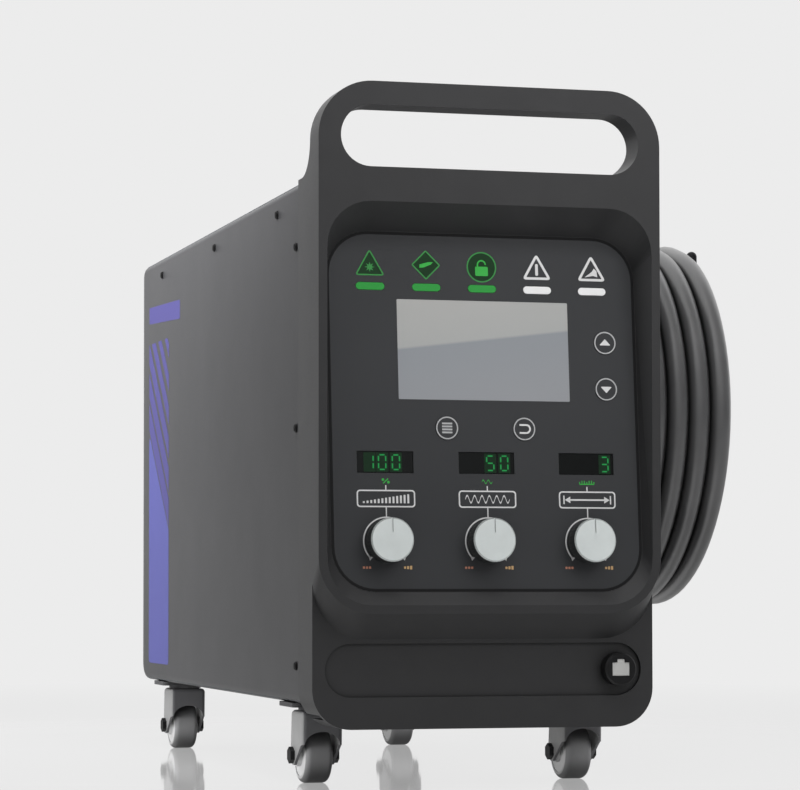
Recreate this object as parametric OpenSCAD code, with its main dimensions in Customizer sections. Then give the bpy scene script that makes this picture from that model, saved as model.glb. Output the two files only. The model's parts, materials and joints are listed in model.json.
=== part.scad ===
// Laser welding machine: a wheeled case with a moulded front, a coiled hose and a hand torch.
// Millimetres. X runs to the right, Y from the front to the back, Z up from the floor.

/* [Case] */
// Width over the two side panels
case_w = 304; // [296:1:308]
// Height of the case from its underside to its top
case_h = 457; // [440:1:480]
// Depth of the case behind the moulded front
case_depth = 728; // [700:1:800]
// Thickness of the sheet metal
sheet_t = 2; // [1.5:0.1:3]
// Bend radius at the rear top edge
rear_top_r = 14; // [8:1:16]
// Bend radius at the rear bottom edge
rear_bottom_r = 20; // [17:1:26]
// Leg of the angle section of the inner frame
angle_leg = 28; // [26:1:34]
// Thickness of the angle section
angle_t = 2.5; // [2:0.5:4]

/* [Moulded front] */
// How far the moulded front stands out past each side panel
front_over = 2; // [0:0.5:5]
// Depth of the moulded front
front_depth = 72; // [68:1:76]
// How far the front reaches below the case
front_drop = 20; // [14:1:24]
// Radius of the two upper corners
front_top_r = 48; // [44:1:50]
// Radius of the two lower corners
front_bottom_r = 34; // [28:1:38]
// How far the chin lies behind the raised frame
chin_setback = 22; // [18:1:24]
// Height of the raised frame's lower edge above the bottom of the front
raised_from = 99; // [98:1:102]
// Wall of the moulding
front_wall = 4; // [3:0.5:5]
// Width of the rim that rests on the case
rim_w = 8; // [6:1:10]

/* [Handle] */
// Distance of the grip opening from each side of the front
grip_side = 19.7; // [18:0.1:34]
// Height of the grip opening
grip_h = 53; // [46:1:54]
// Height of the grip opening above the top of the case
grip_foot = 4; // [2:0.5:12]
// Height of the bar above the opening
grip_bar = 20.5; // [19:0.5:24]
// Depth of the handle, front to back
handle_depth = 30; // [27:1:34]
// Radius where the handle runs into the case
handle_fillet = 30; // [24:1:31]

/* [Control panel] */
// Width of the rim on each side of the recess
recess_side = 7.5; // [6:0.5:10]
// Height of the rim below the recess
recess_rim = 6; // [4:0.5:8]
// Height of the beam between the grip opening and the recess
beam_h = 29; // [27:0.5:31]
// Corner radius of the recess
recess_r = 39; // [34:1:44]
// Width of each sloping side of the recess
recess_slope_w = 6.5; // [5:0.5:9]
// Height of the panel
fascia_h = 312; // [306:1:314]
// Corner radius of the panel
fascia_r = 38; // [32:1:42]
// Thickness of the panel
fascia_t = 4; // [3:0.5:5]
// Angle by which the panel leans back
fascia_tilt = 4.6; // [3:0.1:5]
// Depth of the panel's middle behind the raised frame
fascia_set = 19.7; // [18:0.1:22]
// Drop of the panel's middle below the middle of the recess
fascia_lower = 5; // [3:0.5:7]

/* [Screen and readouts] */
// Distance of the screen from each side of the panel
screen_side = 63; // [60:1:70]
// Height of the screen's upper edge above the panel's middle, as a share of the panel's height
screen_high_share = 0.30994; // [0.27:0.00001:0.315]
// Height of the screen's lower edge above the panel's middle, as a share of the panel's height
screen_low_share = 0.03429; // [0.03:0.00001:0.06]
// Thickness of the screen glass
glass_t = 1.6; // [1:0.1:2]
// Width of a readout window
readout_w = 50.3; // [46:0.1:54]
// Height of a readout window
readout_h = 19; // [16:0.5:21]
// Distance of the readout row below the panel's middle, as a share of the panel's height
readout_share = 0.14295; // [0.139:0.00001:0.15]
// Distance of the outer readouts from the sides of the panel
column_side = 23.85; // [19:0.05:30]
// Width of a lamp bar
lamp_w = 26; // [22:1:30]
// Height of a lamp bar
lamp_h = 7; // [5:0.5:8]
// Distance of the outer lamp bars from the sides of the panel
lamp_side = 26; // [23:0.5:34]
// Height of the lamp row above the panel's middle, as a share of the panel's height
lamp_share = 0.3468; // [0.335:0.0001:0.36]

/* [Dials and keys] */
// Diameter of a dial
dial_d = 38; // [34:1:40]
// Height of a dial
dial_h = 17; // [14:0.5:20]
// Diameter of a dial's shaft
dial_shaft_d = 6; // [5:0.5:6.5]
// Distance of the dial row below the panel's middle, as a share of the panel's height
dial_share = 0.36186; // [0.355:0.00001:0.37]
// Diameter of a key
key_d = 20; // [17:0.5:21]
// Travel of a key
key_travel = 0.6; // [0.4:0.1:0.8]
// Distance of the up and down keys from the side of the panel
arrow_key_side = 28.5; // [26:0.5:30]
// Height of the up key above the panel's middle, as a share of the panel's height
up_key_share = 0.20096; // [0.18:0.00001:0.22]
// Height of the down key above the panel's middle, as a share of the panel's height
down_key_share = 0.06923; // [0.05:0.00001:0.09]
// Sideways place of the menu and back keys
menu_key_x = 35; // [30:1:42]
// Distance of the menu and back keys below the panel's middle, as a share of the panel's height
menu_key_share = 0.04647; // [0.042:0.00001:0.05]

/* [Service strip] */
// Distance of the strip recess from each side of the front
strip_side = 11; // [10:1:16]
// Height of the strip recess
strip_h = 46; // [42:1:46]
// Height of the strip's middle above the bottom of the front
strip_up = 50.5; // [50:0.5:53]
// Depth of the strip recess
strip_depth = 3; // [2:0.5:4]
// Distance of the service port from the end of the strip
port_side = 21.7; // [21:0.1:40]
// Diameter of the service port
port_d = 29; // [26:1:32]
// How far the port stands out of the strip
port_reach = 13; // [8:1:16]

/* [Casters] */
// Height of a caster from the floor to its plate
caster_h = 73; // [72:1:80]
// Diameter of a wheel
wheel_d = 50; // [44:1:51]
// Width of a wheel
wheel_w = 25; // [20:1:26]
// Thickness of the tread
tread_t = 6; // [4:0.5:8]
// Width over the fork
fork_w = 37; // [35:1:42]
// Thickness of the fork's sheet
fork_t = 2.5; // [2:0.1:3]
// Offset of the axle behind the swivel
caster_trail = 15; // [12:1:18]
// Side length of the plate
plate_w = 58; // [52:1:60]
// Diameter of the axle
axle_d = 8; // [6:0.5:10]
// Distance of each wheel's middle from the side of the case
wheel_inset = 30.5; // [29:0.5:37]
// Distance of the front axles behind the front edge of the case
front_axle_inset = 75; // [72:1:88]
// Distance of the rear axles from the rear of the case
rear_axle_inset = 73; // [63:1:130]

/* [Hose] */
// Diameter of the hose
hose_d = 20; // [16:0.5:22]
// Radius of the coil to the middle of the hose
coil_r = 160.5; // [158:0.1:163]
// Number of turns from the outlet to the top of the last one
coil_turns = 3.75; // [2.75:1:3.75]
// Gap between the turns
turn_gap = 0.6; // [0.5:0.1:2]
// Gap between the first turn and the side panel
coil_clear = 1.1; // [0.6:0.1:4]
// Distance of the coil's middle behind the front edge of the case
coil_back = 152; // [150:1:160]
// Height of the coil's middle above the middle of the case
coil_over = 27.5; // [26:0.5:33]
// Straight run of the hose from the outlet down to the coil
lead_l = 95; // [92:1:100]
// Diameter of a hook's rod
hook_d = 10; // [8:1:11]
// Angle of each hook from the top of the coil
hook_angle = 16; // [14:1:20]

/* [Torch] */
// Length of the torch's body
torch_l = 180; // [176:1:190]
// Diameter of the grip
grip_d = 36; // [34:1:38]
// Diameter of the head
head_d = 46; // [44:1:50]
// Length of the head
head_l = 50; // [44:1:54]
// Length of the nozzle
nozzle_l = 60; // [50:1:70]
// Diameter of the nozzle's barrel
nozzle_d = 26; // [22:1:28]
// Length of the trigger
trigger_l = 50; // [44:1:54]

/* [Rear] */
// Side length of the fan's frame
fan_w = 172; // [160:1:176]
// Depth of the fan's frame
fan_depth = 51; // [46:1:56]
// Diameter of the fan's duct
duct_d = 162; // [150:1:164]
// Number of blades
blade_count = 7; // [5:1:9]
// Distance of the fan's middle below the top of the case
fan_down = 140; // [136:1:146]
// Bore of the mains gland
gland_bore_d = 12; // [9:0.5:14]
// Bore of the gas inlet
gas_bore_d = 6; // [4:0.5:8]
// Diameter of the earth stud
stud_d = 8; // [6:1:10]
// Length of the earth stud outside the panel
stud_l = 25; // [20:1:30]

/* [Hidden] */
$fn = 96;

// Overrun of a cut past a face
over = 1;
// Thickness of a slice that a hull starts or ends with
slice = 0.02;
// Gap between pieces that are fitted together
fit_gap = 0.3;
// Radial gap of a shaft in its bearing
bearing_gap = 0.05;

// Places that follow from the case and the front
case_bottom = caster_h;
case_top = case_bottom + case_h;
case_front_y = front_depth;
case_rear_y = front_depth + case_depth;
front_bottom = case_bottom - front_drop;
front_w = case_w + 2 * front_over;
front_h = front_drop + case_h + grip_foot + grip_h + grip_bar;
front_top = front_bottom + front_h;
grip_w = front_w - 2 * grip_side;
recess_w = front_w - 2 * recess_side;
recess_drop = grip_bar + grip_h + beam_h;
recess_h = front_h - recess_drop - raised_from - recess_rim;
fascia_w = recess_w - 2 * recess_slope_w;
fascia_z = front_top - recess_drop - recess_h / 2 - fascia_lower;
strip_w = front_w - 2 * strip_side;
port_x = strip_w / 2 - port_side;
strip_z = front_bottom + strip_up;
strip_floor_y = chin_setback + strip_depth;
panel_in_x = case_w / 2 - sheet_t;

// Places on the panel, from its middle
dial_down = dial_share * fascia_h;
readout_down = readout_share * fascia_h;
lamp_up = lamp_share * fascia_h;
screen_w = fascia_w - 2 * screen_side;
screen_h = (screen_high_share - screen_low_share) * fascia_h;
screen_up = (screen_high_share + screen_low_share) / 2 * fascia_h;
column_pitch = fascia_w / 2 - column_side - readout_w / 2;
lamp_pitch = (fascia_w / 2 - lamp_side - lamp_w / 2) / 2;
arrow_key_x = fascia_w / 2 - arrow_key_side;
up_key_up = up_key_share * fascia_h;
down_key_up = down_key_share * fascia_h;
menu_key_down = menu_key_share * fascia_h;

// Places of the hose, the fan and the casters
coil_pitch = hose_d + turn_gap;
coil_start = hose_d / 2 + coil_clear;
coil_x = case_w / 2 + coil_start;
coil_y = case_front_y + coil_back;
coil_z = case_bottom + case_h / 2 + coil_over;
fan_z = case_top - fan_down;
track = case_w - 2 * wheel_inset;
front_axle_y = case_front_y + front_axle_inset;
wheelbase = case_depth - front_axle_inset - rear_axle_inset;

// Depths behind the panel's face
board_depth = 12;
board_t = 1.6;
ledge_w = 7;
recess_ease = 0.6;
window_reach = 70;
pocket_y = 44;

// Dial and potentiometer
dial_gap = 1.5;
dial_edge = 1.2;
dial_hollow_d = 28;
dial_hollow_h = 5;
knurl_count = 40;
knurl_d = 1.6;
dial_mark_w = 1.4;
dial_mark_depth = 0.8;
bushing_d = 9;
bushing_top = 3.2;
nut_d = 14;
nut_t = 2.2;
pot_d = 24;
pot_t = 10;
shaft_depth = 20;

// Keys
key_crown = 0.8;
key_flange_d = 23;
key_flange_t = 1;
switch_w = 6;

// Screen module, readouts and lamps
glass_lip = 2;
module_border = 6;
readout_sink = 1;
lamp_crown = 0.3;
standoff_d = 8;

// Service port and its insert
port_neck_d = 24;
port_edge = 1.5;
jack_w = 16;
jack_h = 12;
jack_peak_w = 7;
jack_peak_h = 3;
jack_depth = 9;
jack_sink = 0.8;

// Side panel screws: one row below the top and one column behind the front
screw_d = 4;
screw_head_d = 7.8;
screw_head_h = 2.2;
screw_l = 9;
top_screw_down = 20;
top_screw_front = 86;
top_screw_rear = 113;
top_screw_shift = 13;
front_screw_y = 15;
front_screw_low = 33;
front_screw_high = 57;
front_screw_shift = 12.5;
top_screw_ys = [top_screw_front, case_depth / 2 - top_screw_shift, case_depth - top_screw_rear];
front_screw_zs = [front_screw_low, case_h / 2 + front_screw_shift, case_h - front_screw_high];

// Top cover, rear panel and base tray
wrap_return = 40;
vent_l = 70;
vent_w = 6;
vent_pitch = 14;
vent_count = 9;
vent_y = 150;

// Laser source, heat sink and power supply
sink_gap = 2;
inside_y = 264;
sink_air = 41;
sink_w = 2 * (panel_in_x - angle_leg - sink_gap);
sink_l = case_depth - inside_y - sink_air - fan_depth - sheet_t;
sink_h = 60;
sink_base_t = 12;
fin_t = 3;
fin_count = 18;
source_inset = 10;
source_w = sink_w - 2 * source_inset;
source_l = sink_l - 2 * source_inset;
source_h = 70;
source_r = 8;
supply_side = 50;
supply_end = 55;
supply_w = source_w - 2 * supply_side;
supply_l = source_l - 2 * supply_end;
supply_h = 62;
supply_slot_w = 4;
supply_slot_count = 8;

// Fan
fan_corner_r = 12;
fan_motor_d = 66;
fan_strut_w = 9;
fan_strut_t = 7;
rotor_hub_d = 62;
rotor_gap = 2;
rotor_tip_gap = 3;
rotor_shaft_d = 8;
rotor_shaft_l = 6;
blade_t = 2.4;
blade_root_chord = 34;
blade_tip_chord = 52;
blade_root_pitch = 46;
blade_tip_pitch = 27;
blade_camber_share = 0.09;
blade_stations = 5;
blade_chord_shares = [-0.5, -0.2, 0.15, 0.5];
guard_wire_d = 2.6;
guard_disc_d = 40;
guard_ring_count = 5;
guard_ear_d = 13;
guard_stack_share = 0.25;
guard_bar_w = 6;
guard_bar_t = 1.8;

// Breaker, as distances from the middle of the rear panel and below the fan
breaker_x = 62;
breaker_gap = 32;
breaker_w = 36;
breaker_h = 46;
breaker_in = 56;
breaker_out = 4;
breaker_rim = 4;
lever_hub_d = 17;
lever_w = 28;
lever_tab_t = 7;
lever_tab_l = 19;
lever_pin_d = 4;
lever_pin_l = 2.5;
lever_rest = 35;
lever_air = 0.4;
lever_slot_h = 25;
breaker_up = case_h - fan_down - fan_w / 2 - breaker_gap - breaker_rim - breaker_h / 2;

// Mains gland, gas inlet and earth stud
low_row_share = 0.5;
gland_x = 62;
gland_up = low_row_share * breaker_up;
gland_hex_d = 30;
gland_hex_t = 6;
gland_dome_d = 25;
gland_l = 26;
gland_tail_l = 10;
gas_x = -62;
gas_up = gland_up;
gas_hex_d = 18;
gas_hex_t = 6;
gas_barb_d = 9.4;
gas_barb_h = 5;
gas_barb_count = 3;
gas_neck_d = 8;
gas_tail_l = 8;
stud_x = -62;
stud_up = breaker_up;
stud_nut_d = 15;
stud_nut_t = 6.5;
stud_washer_d = 18;
stud_washer_t = 1.8;
stud_tail_l = 10;

// Outlet of the hose on the right side panel
outlet_side = 6;
outlet_wall = 3;
outlet_h = 62;
outlet_r = 7;
collar_wall = 6;
collar_lip = 2;
collar_l = 26;
collar_d = hose_d + 2 * collar_wall;
collar_tip_d = hose_d + 2 * collar_lip;
outlet_w = collar_d + 2 * outlet_side;
outlet_t = coil_start + collar_d / 2 + outlet_wall;
collar_rib_count = 4;
collar_groove = 1.4;

// Hooks of the hose
hook_bend_r = 12;
hook_flange_d = 30;
hook_flange_t = 4;
hook_tip_up = 19;

// Free stretch of the hose: it leaves the coil past the rear hook, runs straight down and back,
// bends into the vertical and drops into the torch
leave_angle = 22.5;
leave_steps = 3;
tail_run = 70;
tail_bend_r = 130;
tail_drop = 10;
tail_run_steps = 3;
tail_bend_steps = 8;
torch_out = 60;
leave_y = coil_y + coil_r * sin(leave_angle);
leave_z = coil_z + coil_r * cos(leave_angle);
torch_x = case_w / 2 + torch_out;
torch_y = leave_y + tail_run * cos(leave_angle) + tail_bend_r * (1 - sin(leave_angle));
torch_top = leave_z - tail_run * sin(leave_angle) - tail_bend_r * cos(leave_angle) - tail_drop;

// Torch, cradle and trigger
sleeve_d = 27;
sleeve_l = 20;
sleeve_cone_l = 10;
waist_d = 31;
neck_l = 5;
trigger_w = 10;
trigger_slot_w = 10.8;
trigger_slot_floor = 6;
trigger_in = 13;
trigger_out = 22;
trigger_pin_d = 4;
trigger_pin_out = 13;
trigger_pin_up = 12;
trigger_heel = 5;
nozzle_tip_d = 8;
nozzle_tip_l = 20;
nozzle_bore_d = 3;
nozzle_ring_d = 30;
nozzle_ring_l = 5;
cradle_plate_w = 56;
cradle_plate_h = 80;
cradle_plate_t = 4;
cradle_ring_h = 25;
cradle_ring_t = 5.5;
cradle_gap = 0.6;
cradle_arm_w = 20;
cradle_r = 8;

// Casters
plate_t = 4;
race_d = 34;
race_t = 3.5;
race_gap = 0.3;
kingpin_d = 12;
plate_r = 6;
fork_crown_t = 3;
fork_top_l = 40;
fork_foot_l = 18;
fork_arch_h = 38;
hub_d = 20;
hub_dish = 3;
tread_crown = 5;
nut_head_d = 13;
nut_head_t = 4;
rim_side_gap = 2;

// The case and the hose are centred on the floor below the middle of the whole object
hook_x = coil_x + coil_pitch * (coil_turns + hook_angle / 360)
       + hose_d / 2 + hook_d / 2 + fit_gap;
dial_face = dial_gap + dial_h;
left_reach = front_w / 2;
right_reach = hook_x + hook_d / 2;
front_reach = dial_face * cos(fascia_tilt) + (dial_d / 2 - dial_edge) * sin(fascia_tilt)
            + dial_down * sin(fascia_tilt) - fascia_set;
rear_reach = case_rear_y + max(stud_l, gland_l);
to_origin = [(left_reach - right_reach) / 2, (front_reach - rear_reach) / 2, 0];

module in_place() {
    translate(to_origin) children();
}

// Outline with its own corner radii below and above, standing on its lower edge
module arch_plate(w, h, low_r, high_r) {
    translate([-w / 2, low_r]) square([w, h - low_r - high_r]);
    translate([-w / 2 + low_r, 0]) square([w - 2 * low_r, low_r + over]);
    translate([-w / 2 + high_r, h - high_r - over]) square([w - 2 * high_r, high_r + over]);
    for (side = [-1, 1]) {
        translate([side * (w / 2 - low_r), low_r]) circle(low_r);
        translate([side * (w / 2 - high_r), h - high_r]) circle(high_r);
    }
}

module round_plate(w, h, r) {
    translate([0, -h / 2]) arch_plate(w, h, r, r);
}

// Slot with two round ends, lying along X
module slot_plate(w, h) {
    square([w - h, h], center = true);
    for (side = [-1, 1]) translate([side * (w - h) / 2, 0]) circle(d = h);
}

// A sketch in X and Z becomes a solid from depth y to depth y plus t
module from_front(y, t) {
    translate([0, y + t, 0]) rotate([90, 0, 0]) linear_extrude(t) children();
}

// A sketch in Y and Z becomes a solid from x to x plus t
module from_side(x, t) {
    translate([x, 0, 0]) rotate([90, 0, 90]) linear_extrude(t) children();
}

// A solid that stands on Z points towards the back
module to_rear(x, y, z) {
    translate([x, y, z]) rotate([-90, 0, 0]) children();
}

// The panel's own frame: X right, Y up along the panel, Z out of its face
module on_fascia(x = 0, up = 0, out = 0) {
    translate([0, fascia_set, fascia_z]) rotate([90 - fascia_tilt, 0, 0])
        translate([x, up, out]) children();
}

module at_columns() {
    for (column = [-1, 0, 1]) translate([column * column_pitch, 0, 0]) children();
}

module hex(across, t) {
    cylinder(h = t, d = across / cos(30), $fn = 6);
}

// Moulded front
module front_outline() {
    translate([0, front_bottom]) arch_plate(front_w, front_h, front_bottom_r, front_top_r);
}

module raised_outline(low_z) {
    translate([0, low_z])
        arch_plate(front_w + 2 * slice, front_top + 2 * front_top_r - low_z,
                   front_top_r, front_top_r, $fn = 32);
}

module front_profile() {
    translate([0, front_bottom]) square([front_depth, case_top - front_bottom]);
    translate([0, front_bottom]) square([handle_depth, front_h]);
    difference() {
        translate([handle_depth - over, case_top - over]) square(handle_fillet + over);
        translate([handle_depth + handle_fillet, case_top + handle_fillet]) circle(handle_fillet);
    }
}

module raised_frame() {
    intersection() {
        hull() {
            from_front(0, slice) raised_outline(front_bottom + raised_from);
            from_front(chin_setback, over)
                raised_outline(front_bottom + raised_from - chin_setback);
        }
        from_front(-over, chin_setback + 2 * over) front_outline();
    }
}

module recess_cut() {
    hull() {
        from_front(-over, slice)
            translate([0, front_top - recess_drop - recess_h / 2])
                round_plate(recess_w, recess_h, recess_r, $fn = 32);
        on_fascia() linear_extrude(slice)
            round_plate(fascia_w + 2 * recess_ease, fascia_h + 2 * recess_ease,
                        fascia_r + recess_ease, $fn = 32);
    }
}

module fascia_seat_cut() {
    on_fascia(0, 0, -fascia_t)
        linear_extrude(fascia_t + slice) round_plate(fascia_w, fascia_h, fascia_r);
    on_fascia(0, 0, -window_reach)
        linear_extrude(window_reach)
            round_plate(fascia_w - 2 * ledge_w, fascia_h - 2 * ledge_w, fascia_r - ledge_w);
}

module rear_pocket_cut() {
    inner_w = front_w - 2 * rim_w;
    chin_y = strip_floor_y + front_wall;
    pocket_bottom = front_bottom + rim_w;
    translate([-inner_w / 2, pocket_y, pocket_bottom])
        cube([inner_w, front_depth - pocket_y + over, case_top - rim_w - pocket_bottom]);
    translate([-inner_w / 2, chin_y, pocket_bottom])
        cube([inner_w, front_depth - chin_y + over, raised_from - 2 * rim_w]);
}

module front_bezel() in_place() color([0.16, 0.16, 0.17]) difference() {
    union() {
        intersection() {
            from_front(chin_setback, front_depth - chin_setback) front_outline();
            from_side(-front_w / 2 - over, front_w + 2 * over) front_profile();
        }
        raised_frame();
    }
    recess_cut();
    fascia_seat_cut();
    rear_pocket_cut();
    from_front(-over, front_depth + 2 * over)
        translate([0, front_top - grip_bar - grip_h / 2]) slot_plate(grip_w, grip_h);
    from_front(chin_setback - over, strip_depth + over)
        translate([0, strip_z]) slot_plate(strip_w, strip_h);
    to_rear(port_x, chin_setback, strip_z)
        cylinder(h = front_depth, d = port_neck_d + 2 * fit_gap);
}

// Panel with its windows, lamp slots, key holes and dial holes
module key_places() {
    translate([arrow_key_x, up_key_up, 0]) children();
    translate([arrow_key_x, down_key_up, 0]) children();
    for (side = [-1, 1]) translate([side * menu_key_x, -menu_key_down, 0]) children();
}

module standoff_places() {
    for (side = [-1, 1], level = [-1, 1])
        translate([side * (fascia_w / 2 - 2 * ledge_w - standoff_d),
                   level * (fascia_h / 2 - 2 * ledge_w - standoff_d / 2), 0]) children();
}

module control_fascia() in_place() color([0.19, 0.20, 0.21]) on_fascia() {
    difference() {
        translate([0, 0, -fascia_t]) linear_extrude(fascia_t)
            round_plate(fascia_w - 2 * fit_gap, fascia_h - 2 * fit_gap, fascia_r - fit_gap);
        translate([0, screen_up, -fascia_t - over]) linear_extrude(fascia_t + 2 * over)
            square([screen_w - 2 * glass_lip, screen_h - 2 * glass_lip], center = true);
        translate([0, screen_up, -glass_t]) linear_extrude(glass_t + over)
            square([screen_w, screen_h], center = true);
        at_columns() {
            translate([0, -readout_down, -fascia_t - over]) linear_extrude(fascia_t + 2 * over)
                square([readout_w, readout_h], center = true);
            translate([0, -dial_down, -fascia_t - over])
                cylinder(h = fascia_t + 2 * over, d = bushing_d + 2 * fit_gap);
        }
        for (lamp = [-2 : 2])
            translate([lamp * lamp_pitch, lamp_up, -fascia_t - over])
                linear_extrude(fascia_t + 2 * over) slot_plate(lamp_w, lamp_h);
        key_places() translate([0, 0, -fascia_t - over])
            cylinder(h = fascia_t + 2 * over, d = key_d + 2 * fit_gap);
    }
    standoff_places() translate([0, 0, -board_depth])
        cylinder(h = board_depth - fascia_t + slice, d = standoff_d);
}

module screen_glass() in_place() color([0.55, 0.57, 0.58])
    on_fascia(0, screen_up, -glass_t) linear_extrude(glass_t)
        square([screen_w - 2 * fit_gap, screen_h - 2 * fit_gap], center = true);

module display_module() in_place() color([0.30, 0.31, 0.33])
    on_fascia(0, screen_up, -board_depth) linear_extrude(board_depth - fascia_t)
        square([screen_w + 2 * module_border, screen_h + module_border - 2 * fit_gap], center = true);

module readout_modules() in_place() color([0.03, 0.09, 0.05]) on_fascia() at_columns()
    translate([0, -readout_down, -board_depth]) linear_extrude(board_depth - readout_sink)
        square([readout_w - 2 * fit_gap, readout_h - 2 * fit_gap], center = true);

module indicator_lenses() in_place() color([0.75, 0.80, 0.76]) on_fascia()
    for (lamp = [-2 : 2])
        translate([lamp * lamp_pitch, lamp_up, -board_depth])
            linear_extrude(board_depth + lamp_crown)
                slot_plate(lamp_w - 2 * fit_gap, lamp_h - 2 * fit_gap);

// Circuit board with a switch under each key
module control_board() in_place() color([0.05, 0.30, 0.16]) on_fascia() {
    difference() {
        translate([0, 0, -board_depth - board_t]) linear_extrude(board_t)
            round_plate(fascia_w - 4 * ledge_w, fascia_h - 4 * ledge_w, standoff_d);
        at_columns() translate([0, -dial_down, -board_depth - board_t - over])
            cylinder(h = board_t + 2 * over, d = bushing_d + 2 * fit_gap);
    }
    switch_top = fascia_t + key_flange_t + key_travel + fit_gap;
    key_places() translate([-switch_w / 2, -switch_w / 2, -board_depth - slice])
        cube([switch_w, switch_w, board_depth - switch_top + slice]);
}

module potentiometers() in_place() color([0.72, 0.72, 0.70]) on_fascia() at_columns()
    translate([0, -dial_down, 0]) difference() {
        union() {
            translate([0, 0, -board_depth - board_t - pot_t]) cylinder(h = pot_t, d = pot_d);
            translate([0, 0, -board_depth - board_t - slice])
                cylinder(h = board_depth + board_t + bushing_top + slice, d = bushing_d);
            hex(nut_d, nut_t);
        }
        translate([0, 0, -shaft_depth - over])
            cylinder(h = shaft_depth + bushing_top + 2 * over,
                     d = dial_shaft_d + 2 * bearing_gap);
    }

// Dial: turned cap with a knurled side, a hollow underside and its own shaft
module dial(column) in_place() color([0.74, 0.77, 0.77])
    on_fascia(column * column_pitch, -dial_down) {
        r = dial_d / 2;
        difference() {
            rotate_extrude() polygon([
                [0, dial_gap + dial_hollow_h], [dial_hollow_d / 2, dial_gap + dial_hollow_h],
                [dial_hollow_d / 2, dial_gap], [r - dial_edge / 2, dial_gap],
                [r, dial_gap + dial_edge / 2], [r, dial_face - dial_edge],
                [r - dial_edge, dial_face], [0, dial_face]]);
            for (groove = [0 : knurl_count - 1])
                rotate(groove * 360 / knurl_count)
                    translate([r + knurl_d * 0.3, 0, dial_gap - over])
                        cylinder(h = dial_h, d = knurl_d, $fn = 4);
            translate([-dial_mark_w / 2, r / 3, dial_face - dial_mark_depth])
                cube([dial_mark_w, r, dial_mark_depth + over]);
        }
        translate([0, 0, -shaft_depth])
            cylinder(h = shaft_depth + dial_gap + dial_hollow_h + slice, d = dial_shaft_d);
    }

module power_knob() dial(-1);
module frequency_knob() dial(0);
module length_knob() dial(1);

// Key cap with the flange that keeps it behind the panel
module key_cap(x, up) in_place() color([0.17, 0.18, 0.19])
    on_fascia(x, up, -fascia_t - key_flange_t) {
        cylinder(h = key_flange_t - fit_gap, d = key_flange_d);
        cylinder(h = key_flange_t + fascia_t + key_crown, d = key_d);
    }

module key_up() key_cap(arrow_key_x, up_key_up);
module key_down() key_cap(arrow_key_x, down_key_up);
module key_menu() key_cap(-menu_key_x, -menu_key_down);
module key_back() key_cap(menu_key_x, -menu_key_down);

// Service port in the strip
module jack_outline(shrink) {
    square([jack_w - 2 * shrink, jack_h - 2 * shrink], center = true);
    translate([-jack_peak_w / 2 + shrink, 0])
        square([jack_peak_w - 2 * shrink, jack_h / 2 + jack_peak_h - shrink]);
}

module service_port() in_place() color([0.05, 0.05, 0.05]) difference() {
    r = port_d / 2;
    port_back = front_depth - strip_floor_y;
    translate([port_x, strip_floor_y, strip_z]) rotate([90, 0, 0]) rotate_extrude() polygon([
        [0, -port_back], [port_neck_d / 2, -port_back], [port_neck_d / 2, 0], [r, 0],
        [r, port_reach - port_edge], [r - port_edge, port_reach], [0, port_reach]]);
    from_front(strip_floor_y - port_reach - over, jack_depth + over)
        translate([port_x, strip_z]) jack_outline(0);
}

module port_insert() in_place() color([0.72, 0.72, 0.72])
    from_front(strip_floor_y - port_reach + jack_sink, jack_depth - jack_sink)
        translate([port_x, strip_z]) jack_outline(fit_gap);

// Outline of the case seen from the side, drawn in by a wall
module case_outline(inset) {
    rear_y = case_rear_y - inset;
    low_z = case_bottom + inset;
    high_z = case_top - inset;
    low_r = rear_bottom_r - inset;
    high_r = rear_top_r - inset;
    translate([case_front_y, low_z + low_r])
        square([rear_y - case_front_y, high_z - high_r - low_z - low_r]);
    translate([case_front_y, low_z]) square([rear_y - low_r - case_front_y, low_r + over]);
    translate([case_front_y, high_z - high_r - over])
        square([rear_y - high_r - case_front_y, high_r + over]);
    translate([rear_y - low_r, low_z + low_r]) circle(low_r);
    translate([rear_y - high_r, high_z - high_r]) circle(high_r);
}

// Sheet that runs over the top, down the rear and under the case
module wrap_sheet() {
    difference() {
        case_outline(0);
        case_outline(sheet_t);
        translate([case_front_y - over, case_bottom + sheet_t])
            square([2 * over, case_h - 2 * sheet_t]);
    }
}

module wrap_part(low_z, high_z) {
    from_side(-panel_in_x, 2 * panel_in_x) intersection() {
        wrap_sheet();
        translate([case_front_y - over, low_z])
            square([case_depth + 2 * over, high_z - low_z]);
    }
}

module vent_rows() {
    for (side = [-1, 1], slot = [0 : vent_count - 1])
        translate([side * (vent_l / 2 + vent_pitch / 2),
                   case_front_y + vent_y + slot * vent_pitch, case_bottom - over])
            linear_extrude(sheet_t + 2 * over) slot_plate(vent_l, vent_w);
}

module base_tray() in_place() color([0.15, 0.15, 0.16]) difference() {
    wrap_part(case_bottom, case_bottom + wrap_return);
    vent_rows();
}

module top_cover() in_place() color([0.17, 0.17, 0.19])
    wrap_part(case_top - wrap_return, case_top);

module rear_panel() in_place() color([0.16, 0.16, 0.18]) difference() {
    wrap_part(case_bottom + wrap_return, case_top - wrap_return);
    rear_hole(0, fan_z, duct_d);
    rear_hole(gland_x, case_bottom + gland_up, gland_bore_d + 2 * front_wall + 2 * fit_gap);
    rear_hole(gas_x, case_bottom + gas_up, gas_bore_d + 2 * front_wall + 2 * fit_gap);
    rear_hole(stud_x, case_bottom + stud_up, stud_d + 2 * fit_gap);
    from_front(case_rear_y - sheet_t - over, sheet_t + 2 * over)
        translate([breaker_x, case_bottom + breaker_up])
            square([breaker_w + 2 * fit_gap, breaker_h + 2 * fit_gap], center = true);
}

module rear_hole(x, z, d) {
    to_rear(x, case_rear_y - sheet_t - over, z) cylinder(h = sheet_t + 2 * over, d = d);
}

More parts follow.
